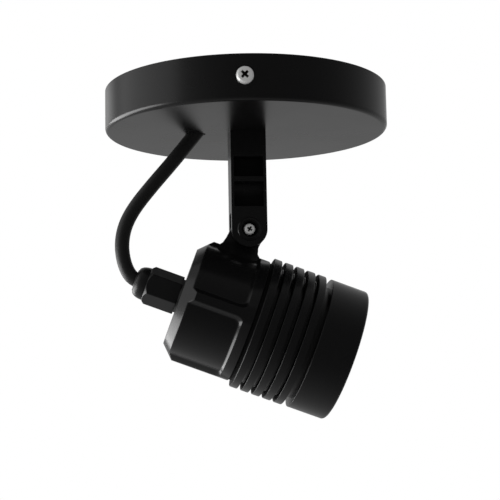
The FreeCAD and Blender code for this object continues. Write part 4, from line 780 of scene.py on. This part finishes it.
side_screws = []
for side in (-1, 1):
    at = SIDE_SCREW_TURN @ Vector((0, side * CANOPY_RADIUS, SIDE_SCREW_Z))
    side_screws.append(pan_screw("side_screw", 3.5 * MM, 2.6 * MM, 2.0 * MM, 7.0 * MM,
                                 facing(at, SIDE_SCREW_TURN @ Vector((0, side, 0)))))
make_active(side_screws[0])
side_screws[1].select_set(True)
bpy.ops.object.join()
finish_piece(side_screws[0], "base", ["canopy_side_screws"], STEEL)
pivot_screw = pan_screw("tilt_screw", 2.45 * MM, 1.9 * MM, 1.5 * MM, 13.7 * MM,
                        facing((0, SEAT_Y, PIVOT_Z), (0, -1, 0)), turn=14)
finish_piece(pivot_screw, "base", ["pivot_screw"], STEEL)

# %% [markdown]
# ## Lamp head housing
# The housing is one turned piece: a chamfered rear body, a neck, five cooling fins and a
# collar for the bezel. Four shallow pockets are milled round the rear body. Their floors are
# round the lamp's axis too, so the pockets are pressed into the turned mesh: each point near
# a pocket drops to the pocket's own surface, with soft edges where the two meet.

# %% Housing section
REAR_R, BODY_R, FIN_R, ROOT_R = 21.7, 27.5, 29.6, 26.0
GLAND_HOLE_R, NECK_R, SPIGOT_R, BORE_R, DRIVER_ROOM_R = 6.25, 26.9, 25.4, 22.8, 17.0
FINS, FIN_START, FIN_PITCH, FIN_THICK = 5, 33.4, 5.1, 3.3
outer = [(0.0, GLAND_HOLE_R), (0.0, REAR_R), (5.8, BODY_R), (31.6, BODY_R), (32.2, NECK_R),
         (FIN_START, NECK_R), (FIN_START, FIN_R)]
radii = {1: 0.25, 2: 0.3, 3: 0.25, 4: 0.2, 5: 0.15, 6: 0.25}
for index in range(FINS):
    start = FIN_START + FIN_PITCH * index
    end = start + FIN_THICK
    if index:
        radii.update({len(outer): 0.2, len(outer) + 1: 0.25})
        outer += [(start, ROOT_R), (start, FIN_R)]
    radii.update({len(outer): 0.25, len(outer) + 1: 0.2})
    outer += [(end, FIN_R), (end, ROOT_R if index < FINS - 1 else SPIGOT_R)]
outer += [(67.0, SPIGOT_R), (67.0, BORE_R), (40.0, BORE_R), (40.0, DRIVER_ROOM_R),
          (5.0, DRIVER_ROOM_R), (5.0, GLAND_HOLE_R)]
section = rounded(outer, radii, steps=4)


# Lines nearer the axis than this are the gland's hole and get no rows.
OUTSIDE_R = 15


def with_rows(points, low, high, gap):
    """Adds points along the section's outer lines between two stations."""
    made = []
    for here, there in zip(points, points[1:]):
        made.append(here)
        start, end = max(low, here[0]), min(high, there[0])
        if here[1] < OUTSIDE_R or there[1] < OUTSIDE_R or end - start < gap:
            continue
        count = int((end - start) / gap)
        for step in range(count):
            station = start + (end - start) * (step + 0.5) / count
            made.append(here.lerp(there, (station - here[0]) / (there[0] - here[0])))
    return made + [points[-1]]


for low, high, gap in ((3.0, 5.6, 0.3), (6.2, 21.8, 2.6), (21.8, 28.0, 0.26)):
    section = with_rows(section, low, high, gap)
COLUMNS = 300
housing = turned("lamp_housing", [point * MM for point in section], steps=COLUMNS)
print("housing section has", len(section), "points")

# %% Milled pockets
POCKET_FLOOR, POCKET_FRONT, CORNER = 25.4, 26.6, 2.3
# Only the rear body's skin is pressed: up to this place on the axis, outside this radius.
POCKETS_END, POCKETS_INNER = 31.0, 20.0
FIRST_ANGLE, LAST_ANGLE = 7.5, 78.0
# How steeply a pocket's side and front walls climb, as rise over run.
RIDGE_RISE, CROWN_RISE, FRONT_RISE = 1.25, 0.62, 0.92
FLOOR_BLEND, RIM_BLEND = 0.5, 0.3
MIDDLE, HALF_SWEEP = (FIRST_ANGLE + LAST_ANGLE) / 2, (LAST_ANGLE - FIRST_ANGLE) / 2


def smooth_low(a, b, blend):
    """The lower of two heights, rounded where they cross."""
    h = max(blend - abs(a - b), 0.0) / blend
    return min(a, b) - h * h * blend / 4


def pocket_height(along, angle):
    """Height of the pocket's surface above the lamp's axis; all four pockets are alike."""
    turn = angle % 180
    turn = min(turn, 180 - turn)
    side_rise = RIDGE_RISE if turn < MIDDLE else CROWN_RISE
    inside = math.radians(HALF_SWEEP - abs(turn - MIDDLE)) * POCKET_FLOOR
    ahead = POCKET_FRONT - along
    near_side, near_front = CORNER - inside, CORNER - ahead
    if near_side > 0 and near_front > 0:
        reach = math.hypot(near_side, near_front)
        out, share = reach - CORNER, near_front ** 2 / reach ** 2
    elif near_front > near_side:
        out, share = near_front - CORNER, 1.0
    else:
        out, share = near_side - CORNER, 0.0
    rise = side_rise + (FRONT_RISE - side_rise) * share
    return -smooth_low(-POCKET_FLOOR, -(POCKET_FLOOR + out * rise), FLOOR_BLEND)


def column_angles():
    """Angles of the mesh's columns, drawn together where the pockets' side walls are."""
    weights = []
    # Each step is a tenth of a degree.
    for step in range(3600):
        turn = min(step / 10 % 180, 180 - step / 10 % 180)
        weights.append(4.0 if 2.0 < turn < 9.0 or turn > 75.0 else 1.0)
    share, total, made = 0.0, sum(weights), []
    for step, weight in enumerate(weights):
        if share >= len(made) * total / COLUMNS:
            made.append(step / 10)
        share += weight
    return made


angles = column_angles()
for vertex in housing.data.vertices:
    along, y, z = (value / MM for value in vertex.co)
    radius = math.hypot(y, z)
    column = round(math.degrees(math.atan2(z, -y)) % 360 / (360 / COLUMNS)) % COLUMNS
    angle = angles[column]
    if along <= POCKETS_END and radius >= POCKETS_INNER:
        radius = smooth_low(radius, pocket_height(along, angle), RIM_BLEND)
    vertex.co.y = -radius * math.cos(math.radians(angle)) * MM
    vertex.co.z = radius * math.sin(math.radians(angle)) * MM
housing.data.update()
print("pockets pressed into", len(housing.data.vertices), "points")

# %% [markdown]
# ## Lug
# The head hangs from a lug with a round top that fills the arm's fork. Its foot spreads into
# the housing with a cast radius. It starts as a cylinder with many rings, and each ring is
# drawn out to the lug's own length and thickness at its height.

# %% Lug on the housing
LUG_HALF, LUG_TOP_R = 3.5, 7.4
FOOT_LOW, FOOT_HIGH, FOOT_SPREAD = 24.3, 30.0, 2.5
# The lug's rear and front below its round top, as (height, place along the lamp).
LUG_REAR = [(22.0, 8.0), (26.9, 8.0), (28.5, 9.4), (31.3, 10.2), (LUG_H, 11.0)]
LUG_FRONT = [(22.0, 27.6), (26.9, 27.6), (28.5, 25.9), (31.3, 25.1), (LUG_H, 25.8)]


def lug_ends(height):
    """Rear and front of the lug at a height above the lamp's axis."""
    if height >= LUG_H:
        reach = math.sqrt(max(LUG_TOP_R ** 2 - (height - LUG_H) ** 2, 0.01))
        return LUG_AT - reach, LUG_AT + reach
    found = []
    for line in (LUG_REAR, LUG_FRONT):
        for (low, a), (high, b) in zip(line, line[1:]):
            if low <= height <= high:
                found.append(a + (b - a) * (height - low) / (high - low))
                break
    return found


def lug_thickness(height):
    """Half thickness of the lug, on a foot that spreads in a hollow curve."""
    left = min(max((FOOT_HIGH - height) / (FOOT_HIGH - FOOT_LOW), 0.0), 1.2)
    return LUG_HALF + FOOT_SPREAD * left ** 1.2


# A little over the square root of 2, so that the diagonal reaches the corner of the rectangle.
SQUARER = 1.42


def round_corner(angle, half_long, half_wide, corner):
    """Point of a rounded rectangle in the direction of an angle."""
    corner = min(corner, half_long * 0.98, half_wide * 0.98)
    across, above = math.cos(angle), math.sin(angle)
    x = math.copysign(min(abs(across) * SQUARER, 1.0), across) * (half_long - corner)
    y = math.copysign(min(abs(above) * SQUARER, 1.0), above) * (half_wide - corner)
    return x + across * corner, y + above * corner


# Rings lie close together in the foot, far apart in the shank, and close again in the top.
heights = [23.0 + 0.3 * step for step in range(30)]
heights += [32.0 + step * 1.0 for step in range(6)]
heights += [LUG_H + LUG_TOP_R * math.sin(math.radians(angle)) for angle in range(4, 90, 4)]
heights += [LUG_H + 7.39]
clear_selection()
bpy.ops.mesh.primitive_circle_add(vertices=64, radius=1.0, fill_type="NGON", location=(0, 0, 0))
lug = bpy.context.object
lug.name = "lug"
bpy.ops.object.mode_set(mode="EDIT")
bpy.ops.mesh.select_all(action="SELECT")
for level in range(1, len(heights)):
    bpy.ops.mesh.extrude_region_move(TRANSFORM_OT_translate={"value": (0, 0, 1.0)})
bpy.ops.mesh.select_all(action="SELECT")
bpy.ops.mesh.normals_make_consistent(inside=False)
bpy.ops.object.mode_set(mode="OBJECT")
for vertex in lug.data.vertices:
    height = heights[round(vertex.co.z)]
    rear, front = lug_ends(height)
    half = lug_thickness(height)
    corner = 0.45 + (half - LUG_HALF) * 0.8
    x, y = round_corner(math.atan2(vertex.co.y, vertex.co.x), (front - rear) / 2, half, corner)
    vertex.co = Vector(((rear + front) / 2 + x, y, height)) * MM
carve(lug, [rod("lug_bore", PIVOT_BORE_R, (LUG_AT * MM, -9 * MM, LUG_H * MM),
                (LUG_AT * MM, 9 * MM, LUG_H * MM))])
make_active(housing)
lug.select_set(True)
bpy.ops.object.join()
finish_piece(housing, "head", ["head_housing"], ANODISED, place=HEAD)

# %% [markdown]
# ## Bezel, glass and reflector
# The bezel is a plain turned ring with a soft front edge. Behind the glass sits a spun
# reflector, so it is drawn as one curved sheet with thickness.

# %% Bezel ring
BEZEL_R, BEZEL_BORE_R = 29.48, 25.45
bezel_section = [(60.0, BEZEL_BORE_R), (60.0, BEZEL_R), (76.9, BEZEL_R), (76.9, 25.4),
                 (71.75, 23.4), (71.5, 23.4), (71.5, BEZEL_BORE_R)]
bezel_section = rounded(bezel_section, {1: 0.3, 2: 1.3, 3: 0.35, 4: 0.1}, steps=6)
bezel = turned("bezel", [point * MM for point in bezel_section], steps=256)
finish_piece(bezel, "head", ["bezel_ring"], ANODISED, place=HEAD)

# %% Reflector
bowl = [(44.6, 6.0), (47.0, 6.0)]
for step in range(1, 17):
    part = step / 16
    bowl.append((47.0 + 19.4 * part, 6.0 + 15.2 * (1 - (1 - part) ** 1.75)))
bowl += [(x, radius + 0.9) for x, radius in reversed(bowl)]
spun = turned("spun_reflector", [Vector(point) * MM for point in bowl], steps=160)
finish_piece(spun, "head", ["reflector"], MIRROR, place=HEAD)

# %% [markdown]
# ## Cable gland
# The gland is moulded nylon: a hexagonal body, and a cap nut whose hexagon ends in a smooth
# dome round the cable. Flats face to the sides. Each hexagon is a six sided bar with its
# corners broken, drilled for the cable.

# %% Gland body and cap nut
FLATS = 15.0 * MM


def hexagon(name, start, end):
    """A six sided bar along the lamp's axis with a flat to each side."""
    bar = rod(name, FLATS / math.sqrt(3), (start, 0, 0), (end, 0, 0), sides=6)
    points = sorted(math.degrees(math.atan2(v.co.z, v.co.y)) % 60 for v in bar.data.vertices)
    wrong = math.radians(30 - points[len(points) // 2])
    bar.data.transform(Matrix.Rotation(wrong, 4, "X"))
    return bar


# The face where the body and the cap nut meet.
SEAM = -6.2 * MM
gland_hex = hexagon("gland_hexagon", -7.5 * MM, -0.8 * MM)
soft_edges(gland_hex, 0.35 * MM, segments=4)
carve(gland_hex, [rod("gland_drill", 3.35 * MM, (-20 * MM, 0, 0), (10 * MM, 0, 0)),
                  rod("gland_end", 12 * MM, (-20 * MM, 0, 0), (SEAM, 0, 0))])
neck = [(-12.5, 3.35), (-12.5, 5.6), (-6.2, 5.6), (-6.2, 3.35)]
gland_neck = turned("gland_neck", [Vector(point) * MM for point in neck], steps=96)
make_active(gland_hex)
gland_neck.select_set(True)
bpy.ops.object.join()
finish_piece(gland_hex, "head", ["gland_body"], NYLON, place=HEAD)

cap_hex = hexagon("cap_hexagon", -15.6 * MM, -5.0 * MM)
soft_edges(cap_hex, 0.35 * MM, segments=4)
# The round section that breaks the hexagon's corners and cuts its end flat at the seam.
broken = [(-15.6, 0.0), (-15.6, 7.3), (-13.9, 8.8), (SEAM / MM, 8.8), (SEAM / MM, 0.0)]
broken = rounded(broken, {1: 0.8, 2: 1.2}, steps=6)
cap_chamfer = turned("cap_chamfer", [Vector(point) * MM for point in broken], steps=128, closed=False)
carve(cap_hex, [cap_chamfer], "INTERSECT")
dome = [(-14.5, 0.0), (-14.5, 7.25), (-15.6, 7.25)]
for step in range(1, 13):
    swing = math.radians(90 * step / 12)
    dome.append((-15.6 - 4.9 * math.sin(swing), 4.75 + 2.5 * math.cos(swing)))
dome += [(-20.7, 4.65), (-20.8, 4.5), (-20.8, 0.0)]
cap_dome = turned("cap_dome", [Vector(point) * MM for point in dome], steps=128, closed=False)
carve(cap_hex, [cap_dome], "UNION")
carve(cap_hex, [rod("cap_mouth", 4.3 * MM, (-25 * MM, 0, 0), (-16.9 * MM, 0, 0), sides=96),
                rod("cap_seat", 5.65 * MM, (-17.0 * MM, 0, 0), (0, 0, 0), sides=96)])
finish_piece(cap_hex, "head", ["gland_cap_nut"], NYLON, place=HEAD, angle=30)

# %% [markdown]
# ## The cable's sheath
# The cable gets its sheath, its placement is baked into its points, and the imported cable is hidden.

# %% Cable sheath
cable.data.materials.clear()
cable.data.materials.append(SHEATH)
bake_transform(cable)
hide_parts("mains_cable")
